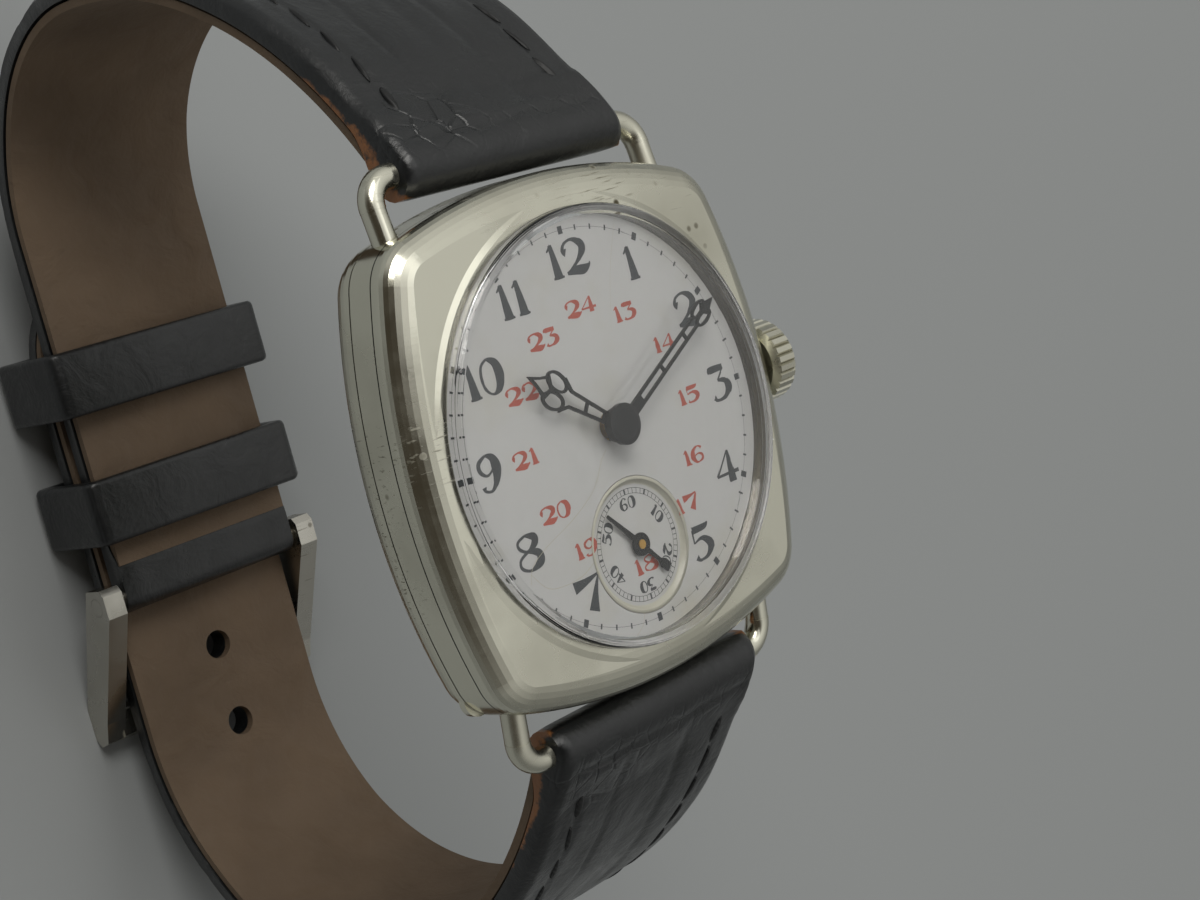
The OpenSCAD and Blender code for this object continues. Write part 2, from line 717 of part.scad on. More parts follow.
// Balance cock: one foot by the rim and an arm over the balance's axis
module balance_cock() {
    color(gilt) head() difference() {
        union() {
            slab([bridge_top, -4.76]) intersection() {
                circle(move_r - 0.2);
                union() {
                    at(balance_at) circle(1.9);
                    polygon([balance_at + [-1.6, 0.6], balance_at + [1.7, 0.4], [-9.4, 6.2],
                        [-16, 9], [-16, 3]]);
                }
            }
            slab([-4.9, plate_z]) intersection() {
                circle(move_r - 0.2);
                translate(screw_sites[5] + [0, 0.6]) circle(1.75);
            }
        }
        for (p = screw_sites) at(p) {
            rod(0.55, [-6, -2]);
            rod(0.95, [-6, bridge_top + 0.3]);
        }
        at(balance_at) rod(jewel_r, [-6, -4]);
    }
}

// Mainspring barrel: toothed drum with its lid
module mainspring_barrel() {
    drum_r = barrel_m * (barrel_n / 2 - 1.25);
    color(gilt) head() at(barrel_at) difference() {
        union() {
            slab(barrel_teeth_z) gear_2d(barrel_n, barrel_m);
            rod(drum_r, barrel_z);
        }
        rod(drum_r - 0.35, [barrel_z[0] + 0.2, barrel_z[1] - 0.2]);
        rod(0.6 + pivot_gap, [-6, 0]);
    }
}

// Mainspring: flat steel ribbon, wound in even turns between arbor and drum
module mainspring() {
    in_r = 1.5;
    out_r = barrel_m * (barrel_n / 2 - 1.25) - 0.5;
    turns = 9;
    steps = 20;
    ribbon = 0.12;
    function spiral(k, off) = (in_r + (out_r - in_r) * k / (turns * steps) + off)
        * [cos(360 * k / steps), sin(360 * k / steps)];
    color(steel) head() at(barrel_at) slab([barrel_z[0] + 0.27, barrel_z[1] - 0.27])
        polygon(concat([for (k = [0 : turns * steps]) spiral(k, 0)],
            [for (k = [turns * steps : -1 : 0]) spiral(k, -ribbon)]));
}

// Barrel arbor: carries the mainspring's inner end, with a square for the ratchet wheel
module barrel_arbor() {
    color(steel) head() at(barrel_at) difference() {
        union() {
            rod(0.6, [barrel_z[0] - 0.1, barrel_z[1] + 0.1]);
            rod(1.3, [barrel_z[0] + 0.27, barrel_z[1] - 0.27]);
            rod(0.7, [barrel_z[1], plate_top - 0.1]);
            rod(1.2, [bridge_top + 0.02, barrel_z[0] - 0.05]);
            slab([wheel_top, bridge_top + 0.1]) square(1.4, center = true);
        }
        rod(0.42, [-7, barrel_z[0]]);
    }
}

// Ratchet wheel: sunburst steel wheel on the arbor's square
module ratchet_wheel() {
    spin = mesh(crown_wheel_n, 0, dir(barrel_at - crown_wheel_at), ratchet_n);
    color(steel) head() at(barrel_at) slab([wheel_top, bridge_top - 0.04]) difference() {
        rotate(spin) gear_2d(ratchet_n, winding_m);
        square(1.44, center = true);
    }
}

// Crown wheel: turned by the winding pinion through its face teeth
module crown_wheel() {
    color(steel) head() at(crown_wheel_at) difference() {
        union() {
            slab([wheel_top, bridge_top - 0.04]) gear_2d(crown_wheel_n, winding_m);
            slab([bridge_top - 0.1, face_teeth_z]) difference() {
                polygon(tooth(crown_wheel_n, crown_wheel_r - 0.6, crown_wheel_r + 0.38));
                circle(crown_wheel_r - 0.45);
            }
        }
        rod(core_r + pivot_gap, [-6, 0]);
    }
}

// Screw of the ratchet wheel
module ratchet_screw() {
    color(blued) head() at(barrel_at) slotted_screw(1.1, 0.4, wheel_top - 0.12, 0.1, barrel_z[0]);
}

// Click: pawl that holds the ratchet wheel
module click() {
    color(steel) head() at(click_at) {
        slab([wheel_top, bridge_top - 0.04]) difference() {
            union() {
                circle(0.75);
                rotate(dir(barrel_at - click_at) - 62)
                    polygon([[0, -0.7], [2, -0.2], [1.6, 0.55], [0, 0.72]]);
            }
            circle(0.3 + pivot_gap);
        }
    }
}

// Click spring: bent wire that presses the click to the wheel
module click_spring() {
    line = dir(barrel_at - click_at);
    color(steel) head() at(click_at) rotate(line) slab([wheel_top + 0.08, bridge_top - 0.04]) {
        translate([-1.15, -2.6]) square([0.22, 4]);
        translate([-1.04, 1.6]) circle(0.4);
    }
}

// Arbor with a pivot at each end
module arbor(z, r = arbor_r) {
    rod(r, [z[0] + 0.24, z[1] - 0.24]);
    rod(pivot_r, z);
}

// Centre wheel: first wheel of the train, its arbor runs up through the plate
module centre_wheel() {
    color(gilt) head() {
        slab(centre_z) wheel_2d(centre_n, centre_m, 5);
        rod(0.45, [centre_z[0], plate_top + 0.05]);
        rod(0.3, [plate_top, minute_z + 0.14]);
        rod(pivot_r, [bridge_top + 0.1, centre_z[0]]);
        slab([-3.6, -3.06]) rotate(mesh(barrel_n, 0, barrel_dir + 180, centre_pinion_n))
            gear_2d(centre_pinion_n, barrel_m);
    }
}

module third_wheel() {
    line = dir(third_at);
    color(gilt) head() at(third_at) {
        slab(third_z) wheel_2d(third_n, third_m, 4);
        arbor([bridge_top + 0.15, -2.5]);
        slab([-4.6 + air, -4.2]) rotate(mesh(centre_n, 0, line, third_pinion_n))
            gear_2d(third_pinion_n, centre_m);
    }
}

module fourth_wheel() {
    line = dir(fourth_at - third_at);
    color(gilt) head() at(fourth_at) {
        slab(fourth_z) wheel_2d(fourth_n, fourth_m, 4);
        rod(arbor_r, [bridge_top + 0.4, -2.7]);
        rod(pivot_r, [bridge_top + 0.15, 0.08]);
        slab([-3.75, -3.3]) rotate(mesh(third_n, 0, line, fourth_pinion_n))
            gear_2d(fourth_pinion_n, third_m);
    }
}

// Escape wheel: fifteen raked club teeth on thin spokes
module escape_wheel() {
    color(steel) head() at(escape_at) {
        slab(escape_z) {
            difference() {
                polygon([for (i = [0 : escape_n - 1]) for (p = [[escape_r - 0.5, 0], [escape_r - 0.08, 9],
                    [escape_r, 13.5], [escape_r - 0.5, 11.5]])
                    p[0] * [cos(24 * i + p[1]), sin(24 * i + p[1])]]);
                circle(escape_r - 0.72);
            }
            circle(0.5);
            for (k = [0 : 3]) rotate(90 * k) translate([0, -0.11]) square([escape_r - 0.6, 0.22]);
        }
        arbor([bridge_top + 0.15, -2.5], 0.22);
        slab([-4.3, -3.85]) rotate(mesh(fourth_n, 0, escape_dir, escape_pinion_n))
            gear_2d(escape_pinion_n, fourth_m);
    }
}

// Pallet fork: lever with two ruby pallets, between escape wheel and balance
module pallet_fork() {
    color(steel) head() at(pallet_at) rotate(line_dir) {
        slab(escape_z) {
            circle(0.42);
            translate([0, -0.16]) square([3.4, 0.32]);
            translate([3.3, -0.42]) square([0.3, 0.84]);
            for (t = [-1, 1]) translate([3.4, t * 0.3 - 0.12]) square([0.75, 0.24]);
            for (t = [-1, 1]) rotate(t * 105) translate([0, -0.15]) square([1.3, 0.3]);
        }
        rod(0.2, [-3.84, -2.74]);
        rod(pivot_r, [-4.35, -2.5]);
    }
}

// Pallet bridge: small bar over the fork's upper pivot
module pallet_bridge() {
    color(gilt) head() at(pallet_at) rotate(line_dir + 90) {
        difference() {
            slab([-4.42, -3.86]) {
                circle(0.48);
                translate([-2.4, -0.38]) square([4.8, 0.76]);
            }
            rod(pivot_r + pivot_gap, [-5, 0]);
            translate([-1.55, -1, -3.9]) cube([3.1, 2, 1]);
        }
        for (t = [-1, 1]) translate([t * 2, 0, 0]) {
            rod(0.4, [-3.9, plate_z]);
            rod(0.26, [-3.9, -2.2]);
        }
    }
}

// Balance: bimetal rim with timing screws, staff, roller and impulse pin
module balance_wheel() {
    color(gilt) head() at(balance_at) {
        slab(balance_z) {
            difference() {
                circle(balance_r - 0.3);
                circle(balance_r - 0.85);
            }
            circle(0.6);
            rotate(25) translate([-balance_r + 0.5, -0.3]) square([2 * balance_r - 1, 0.6]);
        }
        for (i = [0 : 13]) rotate(i * 360 / 14 + 8)
            translate([balance_r - 0.4, 0, (balance_z[0] + balance_z[1]) / 2]) rotate([0, 90, 0])
                cylinder(r = 0.16, h = 0.4, $fn = 24);
        arbor([bridge_top + 0.15, -2.5], 0.22);
        rod(0.95, [-3.84, -3.76]);
        rotate(line_dir + 180) translate([0.72, 0, -3.8]) cylinder(r = 0.1, h = 0.28, $fn = 24);
    }
}

// Hairspring: flat spiral between the staff's collet and the stud
module hairspring() {
    in_r = 0.5;
    out_r = 2.5;
    turns = 9;
    steps = 20;
    ribbon = 0.07;
    function spiral(k, off) = (in_r + (out_r - in_r) * k / (turns * steps) + off)
        * [cos(360 * k / steps), sin(360 * k / steps)];
    color(blued) head() at(balance_at) {
        slab(hair_z) polygon(concat([for (k = [0 : turns * steps]) spiral(k, 0)],
            [for (k = [turns * steps : -1 : 0]) spiral(k, -ribbon)]));
        slab(hair_z) difference() {
            circle(in_r - 0.02);
            circle(0.24);
        }
    }
}

// Regulator: index on the cock that sets the hairspring's working length
module regulator() {
    color(steel) head() at(balance_at) slab([bridge_top - 0.2, bridge_top - 0.02]) difference() {
        union() {
            circle(1.2);
            rotate(98) translate([0, -0.2]) square([4.6, 0.4]);
            rotate(-96) translate([0, -0.22]) square([2.1, 0.44]);
        }
        circle(0.7);
    }
}

// Setting wheel: idler between the clutch and the minute wheel
module setting_wheel() {
    line = dir(setting_at - minute_at);
    spin = mesh(minute_n, mesh(cannon_n, 0, minute_dir, minute_n), line, setting_n);
    color(steel) head() at(setting_at) {
        slab([-1.58, -1.32]) rotate(spin) gear_2d(setting_n, motion_m);
        rod(0.18, [-2.5, -1.2]);
    }
}

// Cannon pinion: friction tight on the centre arbor, carries the minute hand
module cannon_pinion() {
    color(steel) head() difference() {
        union() {
            slab([-1.62, -1.28]) gear_2d(cannon_n, motion_m);
            rod(0.42, [-1.3, minute_z + 0.1]);
        }
        rod(0.3, [-2, minute_z + 0.15]);
    }
}

module minute_wheel() {
    color(gilt) head() at(minute_at) {
        slab([-1.58, -1.36]) rotate(mesh(cannon_n, 0, minute_dir, minute_n)) gear_2d(minute_n, motion_m);
        slab([-1.4, -0.86]) gear_2d(minute_pinion_n, motion_m);
        rod(0.18, [-2.5, -0.84]);
    }
}

// Hour wheel: turns on the cannon pinion's pipe and carries the hour hand
module hour_wheel() {
    color(gilt) head() difference() {
        union() {
            slab([-1.14, -0.9]) rotate(mesh(minute_pinion_n, 0, minute_dir + 180, hour_n))
                gear_2d(hour_n, motion_m);
            rod(0.72, [-1, hour_z + 0.18]);
        }
        rod(0.42 + pivot_gap, [-2, hour_z + 1]);
    }
}

// Bearings of the train, as rings of ruby set in the plate and the bridges
module jewel(p, z) {
    at(p) difference() {
        rod(jewel_r - seat_gap, z);
        rod(pivot_r + 0.02, [-7, 0]);
    }
}

module jewels() {
    color(ruby) head() {
        for (p = [third_at, escape_at, balance_at, pallet_at]) jewel(p, [-2.7, -2.4]);
        jewel(fourth_at, [-2.3, -2]);
        for (p = [third_at, fourth_at, escape_at, balance_at]) jewel(p, [bridge_top, bridge_top + 0.3]);
        jewel([0, 0], [bridge_top, bridge_top + 0.3]);
    }
}

module slotted_screw(r_head, r_shank, z_head, h_head, z_end) {
    difference() {
        union() {
            rod(r_head, [z_head, z_head + h_head]);
            rod(r_shank, [z_head, z_end]);
        }
        translate([-2, -0.09, z_head - 0.1]) cube([4, 0.18, 0.22]);
    }
}

// Blued screws of the bridges and of the two winding wheels
module bridge_screws() {
    color(blued) head() {
        for (p = screw_sites) at(p) slotted_screw(0.9, 0.45, bridge_top - 0.02, 0.3, -2.3);
        at(crown_wheel_at) slotted_screw(1.6, 0.45, wheel_top - 0.16, 0.1, bridge_z);
    }
}

module case_screw_seats() {
    for (a = case_screw_angles) rotate(a) translate([move_r - 0.6, 0, 0])
        rod(1.1, [plate_z - 0.45, plate_z]);
}

// Dog screws that hold the movement in the case
module case_screws() {
    color(blued) head() for (a = case_screw_angles) rotate(a) translate([move_r - 0.6, 0, 0])
        slotted_screw(1, 0.45, plate_z - 0.34, 0.32, -2.3);
}

// Middle line of a half of the loop, moved outward by t: over the side of the wrist, under it
// and along the bottom to end_y
function strap_path(under_r, end_y, t) = concat(
    [for (i = [0 : 9]) let (a = (90 - strap_slope) * (1 - i / 9))
        [bar_y - strap_side_r * sin(strap_slope), side_end_z] + (strap_side_r + t) * [cos(a), sin(a)]],
    [for (i = [1 : 12]) let (a = -90 * i / 12)
        [side_end_y - under_r, side_end_z] + (under_r + t) * [cos(a), sin(a)]],
    [[end_y, side_end_z - under_r - t]]);

// Half of the loop between the depths t0 and t1, narrowed towards the buckle
module strap_run(s, under_r, end_y, t0, t1) {
    outer = strap_path(under_r, end_y, t1);
    inner = strap_path(under_r, end_y, t0);
    last = len(inner) - 1;
    intersection() {
        to_side(s) translate([-strap_w / 2, 0, 0]) rotate([90, 0, 90]) linear_extrude(strap_w)
            polygon(concat(outer, [for (i = [last : -1 : 0]) inner[i]]));
        strap_taper();
    }
}

// Mirror to the twelve side or the six side
module to_side(s) {
    mirror([0, s > 0 ? 0 : 1, 0]) children();
}

// Outline that narrows the strap from the lugs down to the buckle
module strap_taper() {
    w0 = strap_w / 2 + 0.2;
    w1 = strap_end_w / 2;
    translate([0, 60, 0]) rotate([90, 0, 0]) linear_extrude(120)
        polygon([[-w1, -2], [w1, -2], [w1, buckle_mid + 2], [w0, dial_h - 12], [w0, dial_h + 5],
            [-w0, dial_h + 5], [-w0, dial_h - 12], [-w1, buckle_mid + 2]]);
}

// Fold of the strap's end round a lug's bar
module bar_fold(s) {
    translate([-strap_w / 2, s * bar_y, dial_h - bar_drop]) rotate([0, 90, 0])
        cylinder(r = fold_r, h = strap_w);
}

module bar_bore(s) {
    translate([-strap_w, s * bar_y, dial_h - bar_drop]) rotate([0, 90, 0])
        cylinder(r = wire_r + bar_fit, h = 2 * strap_w);
}

// Buckle half of the strap, folded round the top lug and the buckle's bar
module strap_buckle_side() {
    end_y = -buckle_y;
    color(black_leather) difference() {
        union() {
            strap_run(1, strap_under_r, end_y, -strap_t / 2 + lining_t, strap_t / 2);
            bar_fold(1);
            translate([-strap_end_w / 2, end_y, buckle_mid]) rotate([0, 90, 0])
                cylinder(r = strap_t / 2, h = strap_end_w);
        }
        bar_bore(1);
        translate([-strap_w, end_y, buckle_mid]) rotate([0, 90, 0])
            cylinder(r = buckle_bar_r + bar_fit, h = 2 * strap_w);
        translate([-1, end_y - 3, buckle_mid - 3]) cube([2, 6.5, 6]);
    }
}

module lining_buckle_side() {
    color(tan_leather) difference() {
        strap_run(1, strap_under_r, -buckle_y + 2.5, -strap_t / 2, -strap_t / 2 + lining_t);
        bar_fold(1);
        translate([-1, -buckle_y - 3, buckle_mid - 3]) cube([2, 6.5, 6]);
    }
}

// The tang passes straight through the hole that lies under the buckle's bar
module tail_holes() {
    for (k = [0 : hole_count - 1]) translate([0, -buckle_y + (k - 2) * hole_pitch, tail_mid - 3])
        cylinder(r = hole_r, h = 6);
}

// Outline of the tail's rounded tip
module tail_tip() {
    translate([0, 0, tail_mid - 5]) linear_extrude(10) {
        translate([0, tail_l - strap_end_w / 2]) circle(strap_end_w / 2 + 0.3);
        translate([-20, -60]) square([40, 60 + tail_l - strap_end_w / 2]);
    }
    translate([-20, -60, tail_mid + 4]) cube([40, 60, 80]);
}

// Tail half of the strap, folded round the bottom lug, with its row of holes
module strap_tail_side() {
    color(black_leather) difference() {
        union() {
            intersection() {
                strap_run(-1, tail_under_r, -tail_l, -strap_t / 2 + lining_t, strap_t / 2);
                tail_tip();
            }
            bar_fold(-1);
        }
        bar_bore(-1);
        tail_holes();
    }
}

module lining_tail_side() {
    color(tan_leather) difference() {
        intersection() {
            strap_run(-1, tail_under_r, -tail_l, -strap_t / 2, -strap_t / 2 + lining_t);
            tail_tip();
        }
        bar_fold(-1);
        tail_holes();
    }
}

// Buckle frame: two sloping arms and a nose with a rest for the tang
module buckle_frame() {
    nose_y = -buckle_y - buckle_l;
    color(nickel) difference() {
        union() {
            for (s = [-1, 1]) translate([s * (frame_in + frame_t / 2) - frame_t / 2, 0, 0])
                rotate([90, 0, 90]) linear_extrude(frame_t) polygon([
                    [-buckle_y + 1.3, buckle_mid - 0.9], [-buckle_y + 1.3, buckle_mid + 0.9],
                    [-buckle_y + 0.8, buckle_mid + 1.3], [-buckle_y - 1, buckle_mid + 1.3],
                    [nose_y + 1, nose_t + 0.4], [nose_y - 0.6, nose_t - 0.3],
                    [nose_y - 0.9, 0.6], [nose_y - 0.3, 0], [nose_y + 2.2, 0]]);
            translate([-frame_in - 0.2, nose_y + 0.5, nose_t / 2]) rotate([0, 90, 0]) intersection() {
                cylinder(r = 1.35, h = 2 * frame_in + 0.4);
                translate([-nose_t / 2, -2, 0]) cube([nose_t, 4, 2 * frame_in + 1]);
            }
        }
        translate([-tang_r - 0.15, nose_y - 3, -1]) cube([2 * tang_r + 0.3, 6, 1 + 2 * tang_r + 0.3]);
        translate([-20, -buckle_y, buckle_mid]) rotate([0, 90, 0])
            cylinder(r = buckle_bar_r + seat_gap, h = 40);
    }
}

// Buckle bar: round pin through the frame, the strap's end and the tang's eye
module buckle_bar() {
    long = 2 * (frame_in + frame_t);
    color(nickel) translate([-long / 2, -buckle_y, buckle_mid]) rotate([0, 90, 0])
        cylinder(r = buckle_bar_r, h = long);
}

// Tang: eye on the bar and a round prong, bent through the hole and laid in the nose's rest
module buckle_tang() {
    bend_z = tail_mid - strap_t / 2 - tang_r - 0.1;
    reach = buckle_l + 0.3;
    lean = atan((bend_z - tang_r - 0.02) / reach);
    color(nickel) translate([0, -buckle_y, 0]) difference() {
        union() {
            translate([-0.85, 0, buckle_mid]) rotate([0, 90, 0]) cylinder(r = buckle_bar_r + 0.45, h = 1.7);
            rod(tang_r - 0.05, [bend_z, buckle_mid - buckle_bar_r - 0.1]);
            translate([0, 0, bend_z]) {
                sphere(tang_r + 0.06);
                rotate([90 + lean, 0, 0]) cylinder(r = tang_r, h = reach / cos(lean));
            }
        }
        translate([-5, 0, buckle_mid]) rotate([0, 90, 0]) cylinder(r = buckle_bar_r + pivot_gap, h = 10);
    }
}

// Keeper: band of leather round both layers of the strap
module keeper(y, gap) {
    w = strap_end_w / 2 + gap;
    top = buckle_mid + strap_t / 2 + gap;
    color(black_leather) translate([0, y + keeper_w / 2, 0]) rotate([90, 0, 0]) linear_extrude(keeper_w)
        difference() {
            polygon([[-w - keeper_t + 0.6, 0], [w + keeper_t - 0.6, 0], [w + keeper_t, 0.6],
                [w + keeper_t, top + keeper_t - 0.6], [w + keeper_t - 0.6, top + keeper_t],
                [-w - keeper_t + 0.6, top + keeper_t],
                [-w - keeper_t, top + keeper_t - 0.6], [-w - keeper_t, 0.6]]);
            translate([-w, keeper_t]) square([2 * w, top - keeper_t]);
        }
}

module fixed_keeper() { keeper(fixed_keeper_y, keeper_gap); }
module sliding_keeper() { keeper(sliding_keeper_y, keeper_gap + 0.1); }

bezel();
crystal();
middle_case();
back_cover();
lug_wire_top();
lug_wire_bottom();
crown();
stem();
case_screws();
dial();
seconds_dial();
hour_hand();
minute_hand();
seconds_hand();
main_plate();
barrel_bridge();
train_bridge();
balance_cock();
mainspring_barrel();
mainspring();
barrel_arbor();
ratchet_wheel();
ratchet_screw();
crown_wheel();
click();
click_spring();
centre_wheel();
third_wheel();
fourth_wheel();
escape_wheel();
pallet_fork();
pallet_bridge();
balance_wheel();
hairspring();
regulator();
winding_pinion();
clutch();
setting_lever();
setting_wheel();
cannon_pinion();
minute_wheel();
hour_wheel();
jewels();
bridge_screws();
strap_buckle_side();
lining_buckle_side();
strap_tail_side();
lining_tail_side();
buckle_frame();
buckle_bar();
buckle_tang();
fixed_keeper();
sliding_keeper();
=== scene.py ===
import json
from math import cos, pi, radians, sin, sqrt

import bmesh
import bpy
from mathutils import Matrix, Vector, noise


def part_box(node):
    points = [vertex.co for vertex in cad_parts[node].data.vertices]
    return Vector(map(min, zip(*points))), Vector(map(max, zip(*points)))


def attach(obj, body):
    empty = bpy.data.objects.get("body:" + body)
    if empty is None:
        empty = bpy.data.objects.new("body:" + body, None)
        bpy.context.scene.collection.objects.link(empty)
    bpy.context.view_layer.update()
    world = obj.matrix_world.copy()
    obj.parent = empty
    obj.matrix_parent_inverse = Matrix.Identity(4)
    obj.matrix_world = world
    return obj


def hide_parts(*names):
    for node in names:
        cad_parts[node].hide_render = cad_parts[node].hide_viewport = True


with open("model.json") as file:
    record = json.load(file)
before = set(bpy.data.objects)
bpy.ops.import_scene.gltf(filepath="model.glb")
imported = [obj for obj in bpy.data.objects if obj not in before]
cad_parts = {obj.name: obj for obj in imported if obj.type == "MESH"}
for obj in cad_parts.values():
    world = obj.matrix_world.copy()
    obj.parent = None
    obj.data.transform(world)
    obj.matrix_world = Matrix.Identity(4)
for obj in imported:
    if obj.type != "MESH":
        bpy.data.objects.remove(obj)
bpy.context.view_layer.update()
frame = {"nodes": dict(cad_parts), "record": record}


# Case, wire lugs and crown
# They are old sterling silver, polished by wear. Dirt stays as a dark line in the two seams. Round the lugs'
# feet and in other hollows the colour is darkened by painted shade, which also stands for tarnish there, and
# the flats carry shallow dents, fine scratches and a few small pits.
mm = 0.001


def linear(code):
    parts = [int(code[i:i + 2], 16) / 255 for i in (0, 2, 4)]
    return [p / 12.92 if p < 0.04045 else ((p + 0.055) / 1.055) ** 2.4 for p in parts] + [1]


def grey(value):
    return (value, value, value, 1)


def every(size):
    """Scale of a pattern whose features come about once in so many millimetres."""
    return 1 / (size * mm)


def feed(material, value, socket):
    """Sets a socket to a value, or links it to an output, or to the first output of a node."""
    if isinstance(value, bpy.types.Node):
        value = next(output for output in value.outputs if output.enabled)
    if isinstance(value, bpy.types.NodeSocket):
        material.node_tree.links.new(value, socket)
    else:
        socket.default_value = value


def add(material, kind, links=(), stops=(), **settings):
    """Adds a node with its settings and links. stops are the places and colours of a colour ramp."""
    node = material.node_tree.nodes.new("ShaderNode" + kind)
    for name, value in settings.items():
        setattr(node, name, value)
    for socket, value in dict(links).items():
        feed(material, value, node.inputs[socket])
    if stops:
        colours = node.color_ramp.elements
        colours[0].position, colours[0].color = stops[0]
        colours[1].position, colours[1].color = stops[-1]
        for position, colour in stops[1:-1]:
            colours.new(position).color = colour
    return node


def new_material(name, colour, rough, metallic=0.0):
    material = bpy.data.materials.new(name)
    material.use_nodes = True
    shader = material.node_tree.nodes["Principled BSDF"]
    shader.inputs["Base Color"].default_value = linear(colour)
    shader.inputs["Roughness"].default_value = rough
    shader.inputs["Metallic"].default_value = metallic
    return material, shader


def metal(name, clean, dull, rough, tarnish, dents=0.0, occluded=True, seams=()):
    """Worn metal of two colours. seams are the heights at which dirt draws a dark line round the case."""
    material, shader = new_material(name, clean, rough, 1.0)
    coordinates = add(material, "TexCoord")
    place = coordinates.outputs["Object"]
    cloud = add(material, "TexNoise", {"Vector": place, "Scale": every(7.7), "Detail": 3.0, "Roughness": 0.5})
    stain_and_hollow_shade = add(material, "ValToRGB", {"Fac": cloud}, [(0.45, grey(0)), (0.95, grey(tarnish))])
    # Painted shade: where ambient occlusion finds a hollow within 0.6 mm, the colour turns towards the dull
    # one. It also stands for tarnish in those hollows.
    if occluded:
        shut = add(material, "AmbientOcclusion", {"Distance": 0.6 * mm}, samples=6, only_local=False)
        tarnish_and_hollow_shade = add(material, "ValToRGB", {"Fac": shut.outputs["AO"]}, [(0.22, grey(1)), (0.56, grey(0))])
        stain_and_hollow_shade = add(material, "Mix", {"Factor": 1.0, "A": stain_and_hollow_shade, "B": tarnish_and_hollow_shade},
                    data_type="RGBA", blend_type="LIGHTEN")
    if dents:
        drawn_out = add(material, "Mapping",
                        {"Vector": place, "Rotation": (0.4, 0.2, 0.9), "Scale": (1, 14, 5)})
        hair = add(material, "TexNoise", {"Vector": drawn_out, "Scale": every(2.38), "Detail": 3.0})
        spots = add(material, "TexVoronoi", {"Vector": place, "Scale": every(1.923)})
        patchy = add(material, "TexNoise", {"Vector": place, "Scale": every(11.76), "Detail": 3.0})
        where = add(material, "ValToRGB", {"Fac": patchy}, [(0.52, grey(0)), (0.66, grey(1))])
        scratch = add(material, "ValToRGB", {"Fac": hair}, [(0.58, grey(0)), (0.72, grey(0.75))])
        pitted = add(material, "ValToRGB", {"Fac": spots}, [(0.08, grey(1)), (0.17, grey(0))])
        marks = add(material, "Mix", {"Factor": 1.0, "A": scratch, "B": pitted},
                    data_type="RGBA", blend_type="LIGHTEN")
        local = add(material, "Mix", {"Factor": 1.0, "A": marks, "B": where},
                    data_type="RGBA", blend_type="MULTIPLY")
        stain_and_hollow_shade = add(material, "Mix", {"Factor": 1.0, "A": stain_and_hollow_shade, "B": local},
                    data_type="RGBA", blend_type="LIGHTEN")
    tint = add(material, "Mix", {"Factor": stain_and_hollow_shade, "A": linear(clean), "B": linear(dull)}, data_type="RGBA")
    for level in seams:
        height = add(material, "SeparateXYZ", {0: place}).outputs["Z"]
        joint = add(material, "Math", {0: height, 1: level, 2: 0.05 * mm}, operation="COMPARE")
        facing = add(material, "SeparateXYZ", {0: coordinates.outputs["Normal"]}).outputs["Z"]
        upright = add(material, "Math", {0: facing, 1: 0.0, 2: 0.7}, operation="COMPARE")
        line = add(material, "Math", {0: joint, 1: upright}, operation="MULTIPLY")
        tint = add(material, "Mix", {"Factor": line, "A": tint, "B": linear("14130f")}, data_type="RGBA")
    feed(material, tint, shader.inputs["Base Color"])
    haze = add(material, "TexNoise", {"Vector": place, "Scale": every(1.11), "Detail": 5.0})
    gloss = add(material, "MapRange", {"Value": haze, "From Min": 0.3, "From Max": 0.75,
                                       "To Min": rough, "To Max": rough + 0.10})
    rubbed = add(material, "Math", {0: gloss, 1: stain_and_hollow_shade}, operation="ADD", use_clamp=True)
    dullest = add(material, "Math", {0: rubbed, 1: 0.55}, operation="MINIMUM")
    feed(material, dullest, shader.inputs["Roughness"])
    if dents:
        swell = add(material, "TexNoise", {"Vector": place, "Scale": every(6.25), "Detail": 1.0})
        pit = add(material, "MapRange", {"Value": spots, "From Min": 0.05, "From Max": 0.16})
        normal = add(material, "Bump", {"Height": swell, "Strength": dents, "Distance": 0.6 * mm})
        for height, share, depth in ((hair, 0.2, 0.1), (pit, 0.5, 0.05)):
            normal = add(material, "Bump", {"Height": height, "Strength": dents * share,
                                            "Distance": depth * mm, "Normal": normal})
        feed(material, normal, shader.inputs["Normal"])
    return material


silver = metal("silver", "dddbcb", "5f5846", 0.13, 0.4, dents=0.08)
seam_levels = (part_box("bezel")[0].z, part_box("back_cover")[1].z)
case_silver = metal("case_silver", "dddbcb", "5f5846", 0.13, 0.4, dents=0.08, seams=seam_levels)


# Finishes of the movement and the fittings
# The plates and wheels are gilt brass, the keyless work is polished steel, the screws are steel that
# was heated until it turned dark blue, the bearings are ruby, and the buckle is nickel plated.
steel = metal("steel", "b9bcc0", "6d6f72", 0.22, 0.3, occluded=False)
nickel = metal("nickel", "c9c6bd", "77705f", 0.16, 0.4, dents=0.06)
gilt = metal("gilt_brass", "d9b873", "9a7a3c", 0.3, 0.3, occluded=False)
blued = metal("blued_steel", "23283a", "15161c", 0.22, 0.2, occluded=False)
ruby, ruby_shader = new_material("ruby", "a81f3c", 0.08)
ruby_shader.inputs["Transmission Weight"].default_value = 0.6
by_slot = {"silver": silver, "steel": steel, "nickel": nickel, "gilt_brass": gilt, "blued_steel": blued,
           "ruby": ruby}
for piece in frame["record"]["subparts"]:
    if piece["material_slot"] in by_slot:
        part = frame["nodes"][piece["node"]]
        part.data.materials.clear()
        part.data.materials.append(by_slot[piece["material_slot"]])
for name in ("bezel", "middle_case", "back_cover"):
    frame["nodes"][name].data.materials[0] = case_silver


